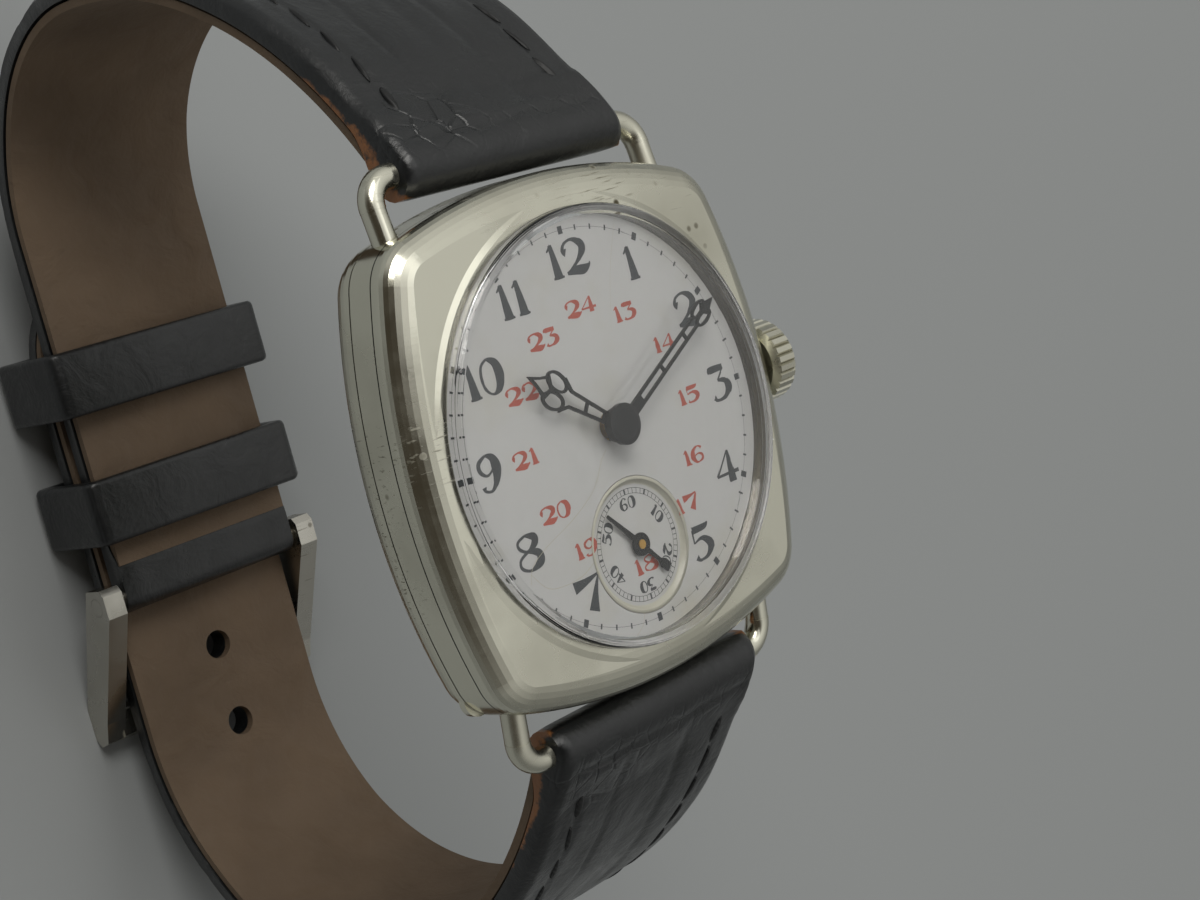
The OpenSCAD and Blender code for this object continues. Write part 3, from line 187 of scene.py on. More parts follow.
# Hands
# They are steel, blued so deeply that they look black. The seconds hand is pressed on a brass pipe,
# and the pipe's end stands just above its blade.
dial_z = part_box("dial")[1].z
blade_top = dial_z + 0.075 * mm
black_steel = metal("hand_steel", "2a2b2c", "141414", 0.30, 0.3, occluded=False)
seconds_steel = metal("seconds_hand_steel", "2a2b2c", "141414", 0.30, 0.3, occluded=False)
seconds_colour = seconds_steel.node_tree.nodes["Principled BSDF"].inputs["Base Color"]
blade = seconds_colour.links[0].from_socket
seconds_place = add(seconds_steel, "TexCoord").outputs["Object"]
seconds_height = add(seconds_steel, "SeparateXYZ", {0: seconds_place}).outputs["Z"]
pipe = add(seconds_steel, "Math", {0: seconds_height, 1: blade_top}, operation="GREATER_THAN")
brass = add(seconds_steel, "Mix", {"Factor": pipe, "A": blade, "B": linear("c39a4c")}, data_type="RGBA")
feed(seconds_steel, brass, seconds_colour)
for name, finish in (("hour_hand", black_steel), ("minute_hand", black_steel),
                     ("seconds_hand", seconds_steel)):
    frame["nodes"][name].data.materials[0] = finish


# Enamel dial
# The dial is a copper disc fired with white enamel, glossy and slightly uneven, with faint stains.
# The seconds dial is a second enamelled disc, soldered in behind it.
enamel, enamel_shader = new_material("enamel", "b0b0af", 0.16)
enamel_shader.inputs["Coat Weight"].default_value = 0.35
enamel_shader.inputs["Coat Roughness"].default_value = 0.05
place = add(enamel, "TexCoord").outputs["Object"]
blotch = add(enamel, "TexNoise", {"Vector": place, "Scale": every(7.7), "Detail": 4.0, "Roughness": 0.55})
faded = add(enamel, "ValToRGB", {"Fac": blotch},
            [(0.50, linear("b0b0af")), (0.66, linear("acaba5")), (0.80, linear("a29d89"))])
feed(enamel, faded, enamel_shader.inputs["Base Color"])
wave = add(enamel, "TexNoise", {"Vector": place, "Scale": every(4.55), "Detail": 2.0})
uneven = add(enamel, "Bump", {"Height": wave, "Strength": 0.05, "Distance": 0.4 * mm})
feed(enamel, uneven, enamel_shader.inputs["Normal"])
for name in ("dial", "seconds_dial"):
    frame["nodes"][name].data.materials.clear()
    frame["nodes"][name].data.materials.append(enamel)


# Printing on the dial
# The figures are fired on in black and red. Each is drawn with a broad pen whose stroke swells and
# thins, so a stroke is a line of points (across, up, width of the pen) in a figure one unit high.
glyphs = {
    "0": [[(.30, 1, .04), (.12, .84, .05), (.06, .5, .06), (.12, .16, .05), (.30, 0, .04),
           (.50, .16, .16), (.57, .5, .21), (.50, .84, .16), (.30, 1, .04)]],
    "1": [[(.21, 1, .09), (.25, .5, .15), (.28, 0, .21)],
          [(.24, .98, .07), (.13, .88, .04), (.06, .82, .02)],
          [(.10, .02, .03), (.28, .03, .06), (.46, .02, .03)]],
    "2": [[(.12, .66, .15), (.06, .74, .09), (.12, .92, .05), (.30, 1, .05),
           (.48, .86, .15), (.52, .66, .17), (.36, .36, .07), (.06, .05, .03)],
          [(.05, .06, .05), (.25, .09, .15), (.45, .07, .17), (.60, .16, .05), (.62, .24, .02)]],
    "3": [[(.06, .86, .03), (.10, .96, .13), (.50, .97, .11)],
          [(.50, .96, .04), (.26, .60, .03)],
          [(.26, .60, .04), (.46, .54, .11), (.54, .32, .19), (.40, .06, .09), (.16, 0, .05),
           (.07, .12, .12)]],
    "4": [[(.44, 1, .05), (.44, .5, .15), (.44, 0, .19)],
          [(.43, .98, .03), (.02, .30, .03)],
          [(.0, .29, .04), (.66, .29, .07)]],
    "5": [[(.10, .94, .13), (.46, .95, .11), (.58, 1.04, .02)],
          [(.10, .96, .04), (.09, .54, .03)],
          [(.09, .54, .03), (.34, .62, .08), (.54, .36, .19), (.40, .06, .09), (.16, 0, .05),
           (.07, .12, .12)]],
    "6": [[(.52, .84, .10), (.44, .97, .05), (.30, 1, .04), (.12, .72, .14), (.08, .36, .18),
           (.18, .06, .09), (.31, 0, .04), (.50, .14, .09), (.50, .40, .09), (.33, .54, .04),
           (.13, .42, .04)]],
    "7": [[(.0, .84, .22), (.30, .90, .12), (.60, 1, .03)],
          [(.60, .98, .02), (.45, .5, .12), (.32, 0, .25)]],
    "8": [[(.30, 1, .04), (.12, .88, .05), (.13, .68, .06), (.30, .54, .05), (.48, .70, .14),
           (.50, .88, .15), (.30, 1, .04)],
          [(.30, .54, .05), (.09, .38, .05), (.08, .14, .06), (.28, 0, .05), (.52, .15, .17),
           (.52, .40, .15), (.30, .54, .05)]],
    "9": [[(.32, 1, .04), (.10, .84, .08), (.09, .60, .08), (.26, .44, .04), (.46, .56, .04)],
          [(.32, 1, .04), (.50, .88, .14), (.56, .60, .21), (.48, .24, .13), (.30, 0, .05),
           (.12, .04, .05), (.09, .16, .10)]],
}
ink = {}
for name, colour in (("black", "1c2226"), ("red", "9c3f2c"), ("crack", "9d9883"), ("cream", "a9a799")):
    ink[name] = new_material("print_" + name, colour, 0.32)[0]


def pen(points, height, steps=5):
    """The two sides of a stroke: a smooth line through its points, as wide as they say."""
    line = []
    for i in range(len(points) - 1):
        a, b, c, d = (Vector(points[min(max(i + k, 0), len(points) - 1)]) for k in (-1, 0, 1, 2))
        for j in range(steps):
            t = j / steps
            line.append(0.5 * (2 * b + (c - a) * t + (2 * a - 5 * b + 4 * c - d) * t * t
                               + (3 * b - a - 3 * c + d) * t ** 3))
    line.append(Vector(points[-1]))
    sides = [[], []]
    for i, p in enumerate(line):
        way = line[min(i + 1, len(line) - 1)] - line[max(i - 1, 0)]
        way = Vector((way.x, way.y)).normalized()
        for k, s in ((0, 1), (1, -1)):
            sides[k].append(Vector((p.x - s * way.y * p.z / 2, p.y + s * way.x * p.z / 2)) * height)
    return sides


def draw(name, strokes, body="head"):
    """One mesh of thin faces. A stroke is its left side, right side, height above the dial and ink."""
    film, step, cycle = 0.004, 0.00002, 40  # crossing strokes lie a step apart, so that they don't flicker
    mesh = bpy.data.meshes.new(name)
    shape = bmesh.new()
    names = sorted({stroke[3] for stroke in strokes})
    for index, (left, right, z, colour) in enumerate(strokes):
        level = dial_z + (z + film + step * (index % cycle)) * mm
        rows = [[shape.verts.new((p.x * mm, p.y * mm, level)) for p in side] for side in (left, right)]
        for i in range(len(left) - 1):
            face = shape.faces.new((rows[0][i], rows[1][i], rows[1][i + 1], rows[0][i + 1]))
            face.material_index = names.index(colour)
    bmesh.ops.recalc_face_normals(shape, faces=shape.faces)
    for face in shape.faces:
        if face.normal.z < 0:
            face.normal_flip()
    shape.to_mesh(mesh)
    shape.free()
    for colour in names:
        mesh.materials.append(ink[colour])
    piece = bpy.data.objects.new(name, mesh)
    bpy.context.scene.collection.objects.link(piece)
    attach(piece, body)
    return piece


def figure(text, at, height, turn=0.0, z=0.0, colour="black", gap=0.06, broad=1.55, heavy=1.6):
    """Strokes of a number. broad widens its figures, heavy widens the pen."""
    shares = {"0": 0.88, "1": 0.78, "2": 1.12, "7": 1.12, "8": 1.08, "9": 0.86}
    stretches = [broad * shares.get(c, 1.0) for c in text]
    widths = [(0.46 if c == "1" else 0.60) * stretch for c, stretch in zip(text, stretches)]
    x = -(sum(widths) + gap * (len(text) - 1)) / 2
    out = []
    for c, w, stretch in zip(text, widths, stretches):
        for stroke in glyphs[c]:
            sides = pen([(px * stretch + x, py - 0.5, 0.014 + pw * heavy) for px, py, pw in stroke], height)
            spun = [[Vector((p.x * cos(turn) - p.y * sin(turn) + at[0],
                             p.x * sin(turn) + p.y * cos(turn) + at[1])) for p in side] for side in sides]
            out.append((spun[0], spun[1], z, colour))
        x += w + gap
    return out


def clock(radius, share):
    """Place at a share of a full turn, clockwise from twelve."""
    return radius * sin(2 * pi * share), radius * cos(2 * pi * share)


def ring(radius, width, z=0.0, colour="black", centre=(0, 0), steps=120):
    sides = [[Vector((centre[0] + r * cos(2 * pi * i / steps), centre[1] + r * sin(2 * pi * i / steps)))
              for i in range(steps + 1)] for r in (radius - width / 2, radius + width / 2)]
    return [(sides[1], sides[0], z, colour)]


def dash(radius, share, length, width, z=0.0, colour="black", centre=(0, 0)):
    c, s = cos(2 * pi * share), sin(2 * pi * share)
    ends = (radius - length / 2, radius + length / 2)
    sides = [[Vector((centre[0] + r * s + k * c, centre[1] + r * c - k * s)) for r in ends]
             for k in (-width / 2, width / 2)]
    return [(sides[0], sides[1], z, colour)]


track_r = 12.62
hour_r, hour_height = 10.82, 2.14
late_r = {13: 7.5, 14: 7.6, 15: 7.6, 16: 7.7, 17: 8.25, 19: 8.15, 20: 7.5, 21: 7.7, 22: 7.6, 23: 7.5, 24: 7.7}
late_angle = {17: 143.2, 19: 215.8}  # degrees: these two stand aside for the seconds dial
late_style = {"height": 1.0, "colour": "red", "gap": 0.10, "broad": 2.0, "heavy": 2.1}
marks = []
for hour in (1, 2, 3, 4, 5, 7, 8, 9, 10, 11, 12):
    marks += figure(str(hour), clock(hour_r, hour / 12), hour_height)
for hour, radius in late_r.items():
    share = late_angle.get(hour, hour * 30) / 360
    marks += figure(str(hour), clock(radius, share), **late_style)
marks += ring(track_r, 0.02)
for minute in range(60):
    length, width = (0.34, 0.13) if minute % 5 else (0.50, 0.40)
    marks += dash(track_r, minute / 60, length, width)
marks_piece = draw("dial_printing", marks)

seconds_at = (0, -7.8)
sunk = -0.3  # the seconds dial's face lies this far under the dial's
small_r, small_dash, small_figure_r = 3.45, 0.34, 2.72
small = figure("18", (0.25, -9.2), z=sunk, **late_style)
small += ring(small_r + small_dash / 2, 0.035, sunk, centre=seconds_at)
small += ring(small_r - small_dash / 2, 0.03, sunk, centre=seconds_at)
for second in range(60):
    width = 0.045 if second % 5 else 0.14
    small += dash(small_r, second / 60, small_dash, width, sunk, centre=seconds_at)
for tens in range(1, 7):
    place_x, place_y = clock(small_figure_r, tens / 6)
    small += figure(str(tens * 10), (place_x, place_y + seconds_at[1]), 0.74, turn=-2 * pi * tens / 6, z=sunk,
                    gap=0.08, broad=1.5, heavy=1.9)
seconds_piece = draw("seconds_printing", small)


# Cracks in the enamel
# Knocks have left hairline cracks in the fired enamel, and dirt has tinted them a dull yellow. They
# have no depth to see, so they lie on the dial as thin strokes, like the printing.
cracks = [[(-.9, -1.3, .03), (-1.56, -1.9, .035), (-2.85, -3.4, .03), (-5.15, -4.6, .035),
           (-7.75, -5.5, .03), (-9.3, -6.3, .035), (-9.84, -7.3, .03)],
          [(-9.63, -6.71, .03), (-8.6, -7.9, .035), (-7.2, -8.2, .03), (-5.58, -8.1, .035),
           (-4.3, -7.6, .03)],
          [(-1.2, -11.9, .03), (-1.6, -12.6, .03), (-2.4, -13.1, .025)],
          [(2.2, 5.6, .015), (3.4, 9.2, .02), (5.0, 12.4, .015)]]
crazing = draw("dial_cracks", [(*pen(line, 1.0, 10), 0.001, "crack") for line in cracks])


# Edge of the seconds dial
# The opening for the small seconds is ground to a bevel, where the enamel turns cream. The bevel's
# profile is given as radius and height in mm, from the dial's face down to the seconds dial.
bevel_profile = ((4.36, 0.012), (4.36, -0.01), (4.08, -0.10), (4.02, -0.29), (3.86, -0.296))
bpy.ops.object.select_all(action="DESELECT")
bpy.ops.mesh.primitive_circle_add(vertices=128, radius=4.15 * mm,
                                  location=(0, seconds_at[1] * mm, dial_z + 0.002 * mm))
edge = bpy.context.object
edge.name = edge.data.name = "seconds_dial_bevel"
bpy.ops.object.mode_set(mode="EDIT")
for radius, height in bevel_profile:
    shape = bmesh.from_edit_mesh(edge.data)
    bpy.ops.mesh.extrude_region()
    for v in shape.verts:
        if v.select:
            flat = Vector((v.co.x, v.co.y)).normalized() * radius * mm
            v.co = (flat.x, flat.y, height * mm)
    bmesh.update_edit_mesh(edge.data)
bpy.ops.mesh.select_all(action="SELECT")
bpy.ops.mesh.normals_make_consistent(inside=False)
bpy.ops.object.mode_set(mode="OBJECT")
bpy.ops.object.transform_apply(location=True, rotation=True, scale=True)
edge.data.materials.append(ink["cream"])
bpy.ops.object.shade_smooth()
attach(edge, "head")


# Crystal
# The crystal is one piece of clear, high-domed glass, pressed into the bezel. Light for the dial
# passes through it unbent, so that the dial isn't left dark.
glass, glass_shader = new_material("crystal_glass", "ffffff", 0.01)
glass_shader.inputs["Transmission Weight"].default_value = 1.0
glass_shader.inputs["IOR"].default_value = 1.49
clear = add(glass, "BsdfTransparent", {"Color": linear("f6f6f6")})
ray = add(glass, "LightPath")
through = add(glass, "MixShader", {0: ray.outputs["Is Shadow Ray"], 1: glass_shader, 2: clear})
feed(glass, through, glass.node_tree.nodes["Material Output"].inputs["Surface"])
frame["nodes"]["crystal"].data.materials.clear()
frame["nodes"]["crystal"].data.materials.append(glass)


# Leather of the strap
# The strap is black calf over a brown core, glazed and then creased by wear, so it shines where it
# is rubbed. Its lining is tan suede. The core shows at the cut edges, most of all near the lugs.
def leather(name, face, core, rough, bump, gloss):
    """The strap's attributes say where the face is worn through and where its glaze is crazed."""
    material, shader = new_material(name, face, rough)
    shader.inputs["Coat Weight"].default_value = gloss
    shader.inputs["Coat Roughness"].default_value = 0.26
    place = add(material, "TexCoord").outputs["Object"]
    pores = add(material, "TexVoronoi", {"Vector": place, "Scale": every(0.455)})
    crease = add(material, "TexNoise", {"Vector": place, "Scale": every(3.333), "Detail": 7.0,
                                        "Roughness": 0.62, "Distortion": 1.0})
    broad = add(material, "TexNoise", {"Vector": place, "Scale": every(9.09), "Detail": 3.0})
    crazed = add(material, "Attribute", attribute_name="crazed").outputs["Fac"]
    cells = add(material, "TexVoronoi", {"Vector": place, "Scale": every(1.613)}, feature="DISTANCE_TO_EDGE")
    crack = add(material, "MapRange", {"Value": cells, "From Min": 0.0, "From Max": 0.09})
    normal = add(material, "Bump", {"Height": broad, "Strength": bump, "Distance": 1.0 * mm})
    for height, strength, depth in ((crease, bump, 0.5), (pores, bump * 0.6, 0.08), (crack, crazed, 0.12)):
        normal = add(material, "Bump", {"Height": height, "Strength": strength, "Distance": depth * mm,
                                        "Normal": normal})
    feed(material, normal, shader.inputs["Normal"])
    worn = add(material, "Attribute", attribute_name="worn").outputs["Fac"]
    ragged = add(material, "TexNoise", {"Vector": place, "Scale": every(1.43), "Detail": 5.0,
                                        "Roughness": 0.7})
    both = add(material, "Math", {0: worn, 1: ragged}, operation="MULTIPLY")
    bare = add(material, "ValToRGB", {"Fac": both}, [(0.30, grey(0)), (0.42, grey(1))])
    lighter = [c * 1.35 for c in linear(face)[:3]] + [1]
    faded = add(material, "ValToRGB", {"Fac": broad}, [(0.35, linear(face)), (0.75, lighter)])
    tint = add(material, "Mix", {"Factor": bare, "A": faded, "B": linear(core)}, data_type="RGBA")
    feed(material, tint, shader.inputs["Base Color"])
    rubbed = add(material, "MapRange", {"Value": crease, "From Min": 0.3, "From Max": 0.7,
                                        "To Min": rough - 0.10, "To Max": rough + 0.10})
    polish = add(material, "Math", {0: crazed, 1: -0.16}, operation="MULTIPLY")
    shine = add(material, "Math", {0: rubbed, 1: polish}, operation="ADD")
    feed(material, shine, shader.inputs["Roughness"])
    return material


calf = leather("black_calf", "131517", "8f5c30", 0.36, 0.36, 0.28)
suede = leather("tan_suede", "6d5c4b", "574434", 0.85, 0.4, 0.0)


# Strap
# Each half is calf outside and suede inside. The calf is folded round the lug and skived there, its
# edges are turned down, and long grooves and creases run along it. side is 1 for the half with the
# buckle and -1 for the tail. s is the distance in mm from the lug along the strap's middle.
over_r, over_turn = 34, radians(62)  # arc over the wrist's side
over_y, over_z = 2.44, 21.25
under_r = {1: 15.5, -1: 18.0}  # arc under the wrist
flat_length = {1: 7.0, -1: 19.0}
bar_y, bar_z = 18.40, 51.27
side_y = over_y + over_r
end_r = 8.2  # rounding of the tail's end
wide, tapered, widest = 9.8, 1.6, 9.6  # half widths: where the taper starts, what it takes off, the limit
face_level, joint_level, back_level = 1.2, -0.5, -1.2  # outer face, joint of the layers, lining's back
fold_r = 1.7  # outside of the fold round the lug
buckle_fold = 0.68  # the calf that is turned back under itself at the buckle
starts = {"calf": -1.68, "lining": 2.2}
overhang = {("calf", 1): 1.15, ("calf", -1): 0, ("lining", 1): -2.6, ("lining", -1): -0.1}
lifted = {"calf": 0.10, "lining": 0.04}  # rise of the inner face at its edges
ring_step, face_steps, back_steps = 0.36, 56, 16


def key(point):
    """A point as whole numbers, so that a vertex is found again after Blender has rounded it."""
    return tuple(round(c * 1e7) for c in point)


def loft(name, rings, material):
    """A circle is extruded ring by ring, each new ring is moved to its place, and both ends are closed."""
    bpy.ops.object.select_all(action="DESELECT")
    bpy.ops.mesh.primitive_circle_add(vertices=len(rings[0]), radius=1)
    piece = bpy.context.object
    piece.name = piece.data.name = name
    for vertex, place in zip(piece.data.vertices, rings[0]):
        vertex.co = place
    bpy.ops.object.mode_set(mode="EDIT")
    bpy.ops.mesh.select_all(action="SELECT")
    for number, goal in enumerate(rings[1:]):
        order = {key(p): k for k, p in enumerate(rings[number])}
        bpy.ops.mesh.extrude_region()
        shape = bmesh.from_edit_mesh(piece.data)
        for vertex in [v for v in shape.verts if v.select]:
            vertex.co = goal[order[key(vertex.co)]]
    bpy.ops.mesh.select_all(action="DESELECT")
    bpy.ops.mesh.select_non_manifold(extend=False, use_wire=False, use_boundary=True, use_multi_face=False,
                                     use_non_contiguous=False, use_verts=False)
    bpy.ops.mesh.edge_face_add()
    bpy.ops.mesh.select_all(action="SELECT")
    bpy.ops.mesh.normals_make_consistent(inside=False)
    bpy.ops.object.mode_set(mode="OBJECT")
    piece.data.materials.append(material)
    return piece


def along(side, s):
    """Place (y, z) and outward normal (y, z) at s. Past the lug the strap runs straight on."""
    first = over_r * over_turn
    second = under_r[side] * pi / 2
    y = side_y - under_r[side]
    if s < 0:
        return (bar_y + s * sin(over_turn), bar_z + s * -cos(over_turn), cos(over_turn), sin(over_turn))
    if s < first:
        a = over_turn - s / over_r
        return (over_y + over_r * cos(a), over_z + over_r * sin(a), cos(a), sin(a))
    if s < first + second:
        a = -(s - first) / under_r[side]
        return (y + under_r[side] * cos(a), over_z + under_r[side] * sin(a), cos(a), sin(a))
    return (y - (s - first - second), over_z - under_r[side], 0.0, -1.0)


def length_of(side):
    return over_r * over_turn + under_r[side] * pi / 2 + side_y - under_r[side] + flat_length[side]


def half_width(z):
    """The strap tapers from 12 mm under the dial's face down to a height of 7.75 mm."""
    top, low = dial_z / mm - 12, 7.75
    return min(widest, wide - tapered * min(max((top - z) / (top - low), 0), 1))


def smooth(t):
    """0 up to t = 0 and 1 from t = 1 on, with a soft step between them."""
    t = min(max(t, 0), 1)
    return t * t * (3 - 2 * t)


def near(value, middle, reach):
    """1 at the middle, falling softly to 0 at the reach on both sides."""
    return 1 - smooth(abs(value - middle) / reach)


def calf_rise(x, s, w, side):
    """Height of the calf above its flat level."""
    inward = w - abs(x)
    rise = -0.42 * (1 - smooth(inward / 0.6))  # turned edge
    rise -= 0.20 * (1 - smooth(inward / 3.4)) * smooth((s - 3) / 2)  # thin margin
    rise += 0.06 * near(inward, 1.0, 0.8) * smooth((s - 2) / 2)  # bead outside the stitches
    rise -= 0.13 * near(inward, 2.75, 0.42) * smooth((s - 3) / 1.5)  # channel of the stitches
    for line, depth, reach in ((-3.4, 0.13, 0.30), (2.9, 0.11, 0.60), (0.4, 0.04, 0.9)):
        wander = 0.45 * noise.noise(Vector((s * 0.11, line, side)))
        rise -= depth * near(x, line + wander, reach) * smooth((s - 1.2) / 2.5) * (1 - smooth((s - 34) / 8))
    rise += 0.12 * noise.noise(Vector((x * 0.28, s * 0.20, side * 5.0)))
    ripple = max(noise.noise(Vector((x * 0.16, s * 1.1, side * 9.0))), 0)
    rise -= 0.12 * ripple * (smooth((s - 24) / 8) * (1 - smooth((s - 62) / 8)) + near(s, 3.2, 3.4))
    rise -= 0.14 * near(s, 1.15 + 0.12 * sin(x * 0.9), 0.5) * smooth(inward / 2)  # crease at the fold
    return rise


def layer_section(side, layer, s, total):
    """Half width, outer height and inner height of one layer at s."""
    w = half_width(along(side, s)[1])
    joint = joint_level - (fold_r + joint_level) * (1 - smooth(s / 4.2))
    if layer == "lining":
        top, low = max(joint, back_level + 0.08), back_level
        w -= 0.12
    elif s < 0:
        top = sqrt(max(fold_r ** 2 - s * s, 0.04))
        low = -top
    elif side > 0 and s > total:
        top = sqrt(max(face_level ** 2 - (s - total) ** 2, 0.05))
        low = max(joint - buckle_fold, -top)
    else:
        top = face_level + (fold_r - face_level) * (1 - smooth(s / 5.5))
        low = joint - buckle_fold * smooth((s - total + 5) / 3) * (side > 0)
    left = total - s
    if side < 0 and left < end_r:
        w = min(w, sqrt(max(end_r ** 2 - (end_r - left) ** 2, 0.02)))
    return w, top, low


def strap_half(name, side, layer, material):
    """layer: 'calf' is the outer leather with the fold round the lug, 'lining' the inner one."""
    total = length_of(side)
    start, stop = starts[layer], total + overhang[layer, side]
    count = int((stop - start) / ring_step)
    rings, wear, craze = [], {}, {}
    for i in range(count + 1):
        s = start + (stop - start) * i / count
        y, z, ny, nz = along(side, s)
        w, top, low = layer_section(side, layer, s, total)
        section = []
        for k in range(face_steps + 1):
            x = (2 * k / face_steps - 1) * w
            x = x * 1.05 / (1 + 0.05 * (abs(x) / w) ** 3)  # the points crowd towards the edges
            rise = calf_rise(x, s, w, side) if layer == "calf" else -0.08 * (1 - smooth((w - abs(x)) / 0.5))
            section.append((x, max(top + rise, low + 0.12)))
        for k in range(back_steps + 1):
            x = (1 - 2 * k / back_steps) * w
            section.append((x, low + lifted[layer] * (1 - smooth((w - abs(x)) / 0.4))))
        ring_now = [(Vector((x, side * (y + ny * n), z + nz * n)) * mm, x, n) for x, n in section]
        rings.append([p for p, x, n in ring_now])
        lug_end = 1 - smooth((s - 1.0) / 15)  # worn most next to the lug
        for p, x, n in ring_now:
            cut_edge = layer == "calf" and w - abs(x) < 0.3
            bared = (0.34 + 0.85 * lug_end) * (1 - smooth((n + 0.35) / 0.8))
            wear[key(p)] = bared if cut_edge else 0.25 * (n < -0.3)
            bent = near(s, 2.6, 3.6) * near(x, -5.2, 4.6) + 0.35 * near(s, 1.2, 2.2)
            craze[key(p)] = bent * (n > 0)
    piece = loft(name, rings, material)
    for title, values in (("worn", wear), ("crazed", craze)):
        mark = piece.data.attributes.new(title, "FLOAT", "POINT")
        for vertex in piece.data.vertices:
            mark.data[vertex.index].value = values[key(vertex.co)]
    bpy.ops.object.shade_smooth_by_angle(angle=radians(60))
    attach(piece, "head")
    return piece


top_calf = strap_half("strap_top_calf", 1, "calf", calf)
top_lining = strap_half("strap_top_lining", 1, "lining", suede)
low_calf = strap_half("strap_tail_calf", -1, "calf", calf)
low_lining = strap_half("strap_tail_lining", -1, "lining", suede)


# Holes in the tail
# The tail is punched with a row of five round holes for the buckle's tang. The punches are joined, so
# that each layer is cut once.
hole_r, hole_pitch, hole_count, middle_hole_y = 1.15, 6.5, 5, -7
bpy.ops.object.select_all(action="DESELECT")
for k in range(hole_count):
    hole_y = middle_hole_y + (k - 2) * hole_pitch
    bpy.ops.mesh.primitive_cylinder_add(vertices=32, radius=hole_r * mm, depth=6 * mm, rotation=(0, 0, 0.05),
                                        location=(0.01 * mm, hole_y * mm, 3.4 * mm))
    if k:
        row.select_set(True)
        bpy.context.view_layer.objects.active = row
        bpy.ops.object.join()
    row = bpy.context.object
for piece in (low_calf, low_lining):
    bpy.ops.object.select_all(action="DESELECT")
    piece.select_set(True)
    bpy.context.view_layer.objects.active = piece
    cut = piece.modifiers.new("punch", "BOOLEAN")
    cut.object, cut.operation, cut.solver = row, "DIFFERENCE", "EXACT"
    bpy.ops.object.modifier_apply(modifier=cut.name)
bpy.data.objects.remove(row)
for piece, slot, node in ((top_calf, "black_leather", "strap_buckle_side"),
                          (top_lining, "tan_leather", "lining_buckle_side"),
                          (low_calf, "black_leather", "strap_tail_side"),
                          (low_lining, "tan_leather", "lining_tail_side")):
    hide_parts(node)


# Stitching
# Waxed black linen thread lies in a channel along both margins, sewn by hand with long stitches,
# and starts with a thick back stitch near the lug. A stitch leans a little and dips at its ends.
thread, thread_shader = new_material("linen_thread", "0d0e0f", 0.5)
thread_place = add(thread, "TexCoord").outputs["Object"]
twist = add(thread, "TexWave", {"Vector": thread_place, "Scale": every(1.111), "Distortion": 2.0},
            bands_direction="DIAGONAL")
strands = add(thread, "Bump", {"Height": twist.outputs["Fac"], "Strength": 0.6, "Distance": 0.06 * mm})
feed(thread, strands, thread_shader.inputs["Normal"])
stitch_half = (0.21, 1.28, 0.20)  # half its breadth, length and height
stitch_margin, stitch_pitch, first_stitch = 2.75, 2.95, 4.4
unsewn_end = {1: 4, -1: 9}
for side, name in ((1, "stitching_top"), (-1, "stitching_tail")):
    end = length_of(side) - unsewn_end[side]
    bpy.ops.object.select_all(action="DESELECT")
    bpy.ops.mesh.primitive_uv_sphere_add(segments=10, ring_count=8, radius=1 * mm)
    first = bpy.context.object
    first.scale = stitch_half
    bpy.ops.object.transform_apply(scale=True)
    stitches = []
    for hand in (-1, 1):
        s = first_stitch
        while s < end:
            y, z, ny, nz = along(side, s)
            across = hand * (half_width(z) - stitch_margin)
            lift = face_level + calf_rise(across, s, half_width(z), side) + 0.02
            stitch = first.copy()
            stitch.data = first.data.copy()
            outward, onward = Vector((0, side * ny, nz)), Vector((0, side * nz, -ny))
            basis = Matrix((Vector((1, 0, 0)), onward, outward)).transposed().to_4x4()
            at = Vector((across, side * (y + ny * lift), z + nz * lift)) * mm
            lean = Matrix.Rotation(0.16 * hand + 0.06 * sin(s * 7.3), 4, "Z")
            fat = 1.6 if s < 5 else 1.0
            stitch.matrix_world = Matrix.Translation(at) @ basis @ lean @ Matrix.Diagonal((fat, 1, fat, 1))
            bpy.context.scene.collection.objects.link(stitch)
            stitches.append(stitch)
            s += stitch_pitch
    bpy.data.objects.remove(first)
    bpy.ops.object.select_all(action="DESELECT")
    for stitch in stitches:
        stitch.select_set(True)
    bpy.context.view_layer.objects.active = stitches[0]
    bpy.ops.object.join()
    row = bpy.context.object
    bpy.ops.object.transform_apply(location=True, rotation=True, scale=True)
    row.name = row.data.name = name
    row.data.materials.append(thread)
    bpy.ops.object.shade_smooth()
    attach(row, "head")


# Keepers
# Each keeper is a band of the same calf, folded round the strap, with its edges skived round. The
# fixed one is sewn to the strap, and the other slides along it.
for node, body in (("fixed_keeper", "head"), ("sliding_keeper", "keeper")):
    source = frame["nodes"][node]
    band = bpy.data.objects.new(node + "_calf", source.data.copy())
    bpy.context.scene.collection.objects.link(band)
    bpy.ops.object.select_all(action="DESELECT")
    band.select_set(True)
    bpy.context.view_layer.objects.active = band
    bpy.ops.mesh.customdata_custom_splitnormals_clear()
    bpy.ops.object.mode_set(mode="EDIT")
    bpy.ops.mesh.select_all(action="SELECT")
    bpy.ops.mesh.remove_doubles(threshold=1e-6)
    bpy.ops.mesh.dissolve_limited(angle_limit=radians(2))
    bpy.ops.object.mode_set(mode="OBJECT")
    round_off = band.modifiers.new("round", "BEVEL")
    round_off.width, round_off.segments, round_off.limit_method = 0.45 * mm, 5, "ANGLE"
    bpy.ops.object.modifier_apply(modifier="round")
    bpy.ops.object.shade_smooth_by_angle(angle=radians(40))
    band.data.materials.clear()
    band.data.materials.append(calf)
    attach(band, body)
    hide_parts(node)


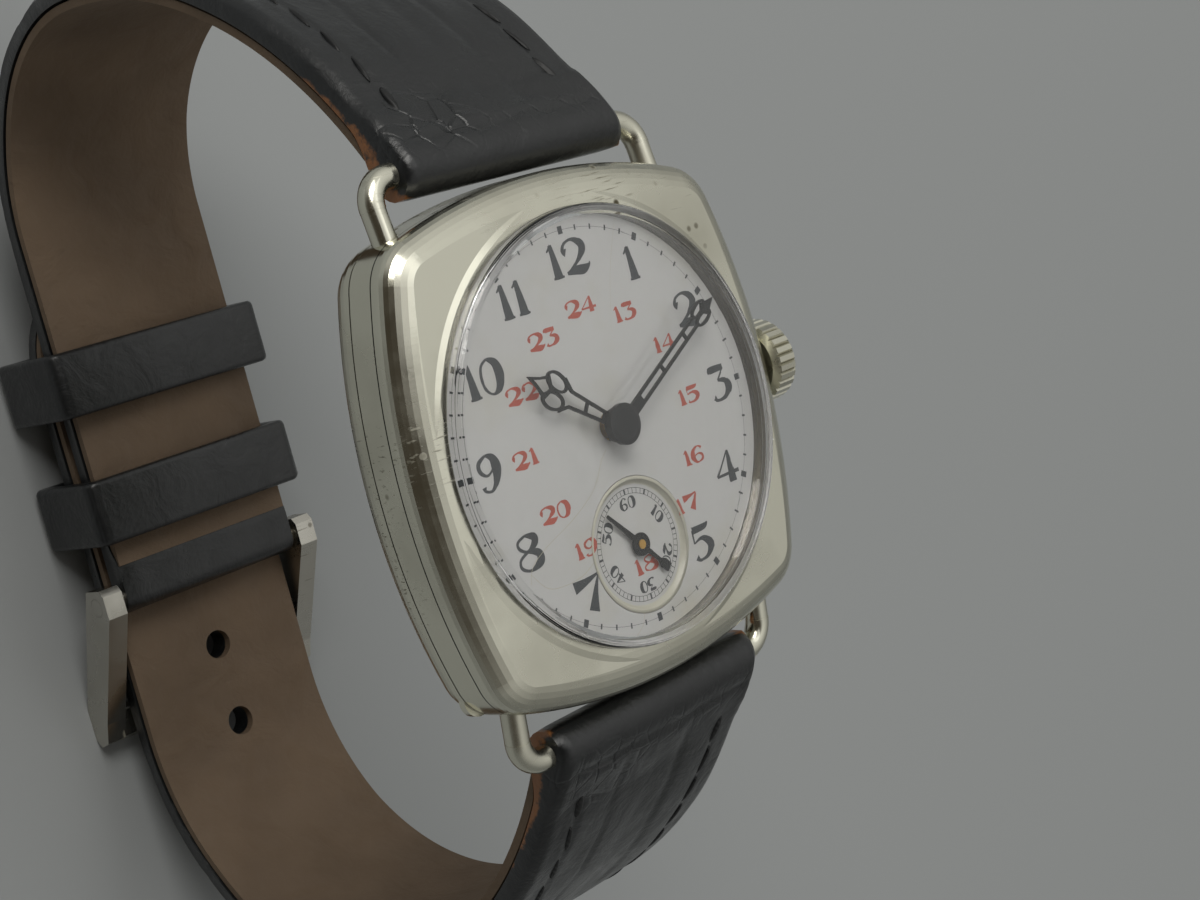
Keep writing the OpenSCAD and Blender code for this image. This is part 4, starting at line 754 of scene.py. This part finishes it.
# Floor, light and camera
# The floor is a plain grey table under soft studio light, and the camera looks down on it from the
# left. The room is darker on the camera's side, and the polished silver shows that as a dark band.
floor_paint = new_material("floor_paint", "a5a8a9", 0.9)[0]
bpy.ops.object.select_all(action="DESELECT")
bpy.ops.mesh.primitive_plane_add(size=4, location=(0, 0, -0.02 * mm))
floor = bpy.context.object
floor.name = "floor"
floor.data.materials.append(floor_paint)

# The camera's axes and its place from the dial's centre, in metres, were fitted to the sixty minute marks.
camera_place = Vector((-0.09196, 0.01595, 0.0932 + dial_z))
camera_right = Vector((0.6701, -0.2503, 0.6988))
camera_up = Vector((0.2693, 0.9593, 0.0854))
camera_back = Vector((-0.6917, 0.1310, 0.7102))
world = bpy.data.worlds.new("studio")
bpy.context.scene.world = world
world.use_nodes = True
sky = world.node_tree.nodes["Background"]
look = add(world, "TexCoord").outputs["Generated"]
height = add(world, "VectorMath", {0: look, 1: (0.08, 0.36, 0.93)}, operation="DOT_PRODUCT")
glow = add(world, "ValToRGB", {"Fac": height.outputs["Value"]},
           [(0.0, linear("747573")), (0.45, linear("a8a8a5")), (0.95, linear("e2e2df"))])
toward = add(world, "VectorMath", {0: look, 1: camera_back}, operation="DOT_PRODUCT")
dark_side = add(world, "MapRange", {"Value": toward.outputs["Value"], "From Min": 0.50, "From Max": 0.90},
                interpolation_type="SMOOTHSTEP")
room = add(world, "Mix", {"Factor": dark_side, "A": glow, "B": linear("3d3830")}, data_type="RGBA")
feed(world, room, sky.inputs["Color"])
sky.inputs["Strength"].default_value = 1.0


def lamp(name, place, aim, size, power, colour="ffffff"):
    light = bpy.data.lights.new(name, "AREA")
    light.shape, light.size, light.size_y, light.energy = "RECTANGLE", size[0], size[1], power
    light.color = linear(colour)[:3]
    holder = bpy.data.objects.new(name, light)
    bpy.context.scene.collection.objects.link(holder)
    holder.location = place
    holder.rotation_mode = "QUATERNION"
    holder.rotation_quaternion = (Vector(aim) - Vector(place)).to_track_quat("-Z", "Y")


lamp("window", (-0.20, 0.60, 0.60), (0, 0, 0.04), (0.50, 0.35), 2.6, "fffdf8")
lamp("overhead", (0.0, 0.35, 0.85), (0, 0, 0.04), (0.8, 0.6), 0.8)

camera_data = bpy.data.cameras.new("camera")
camera = bpy.data.objects.new("camera", camera_data)
bpy.context.scene.collection.objects.link(camera)
bpy.context.scene.camera = camera
camera_data.lens = 62.8
camera_data.sensor_width = 36
camera_data.clip_start, camera_data.clip_end = 0.005, 10
facing = Matrix((camera_right, camera_up, camera_back)).transposed().to_4x4()
camera.matrix_world = Matrix.Translation(camera_place) @ facing

bpy.context.scene.view_settings.view_transform = "Standard"
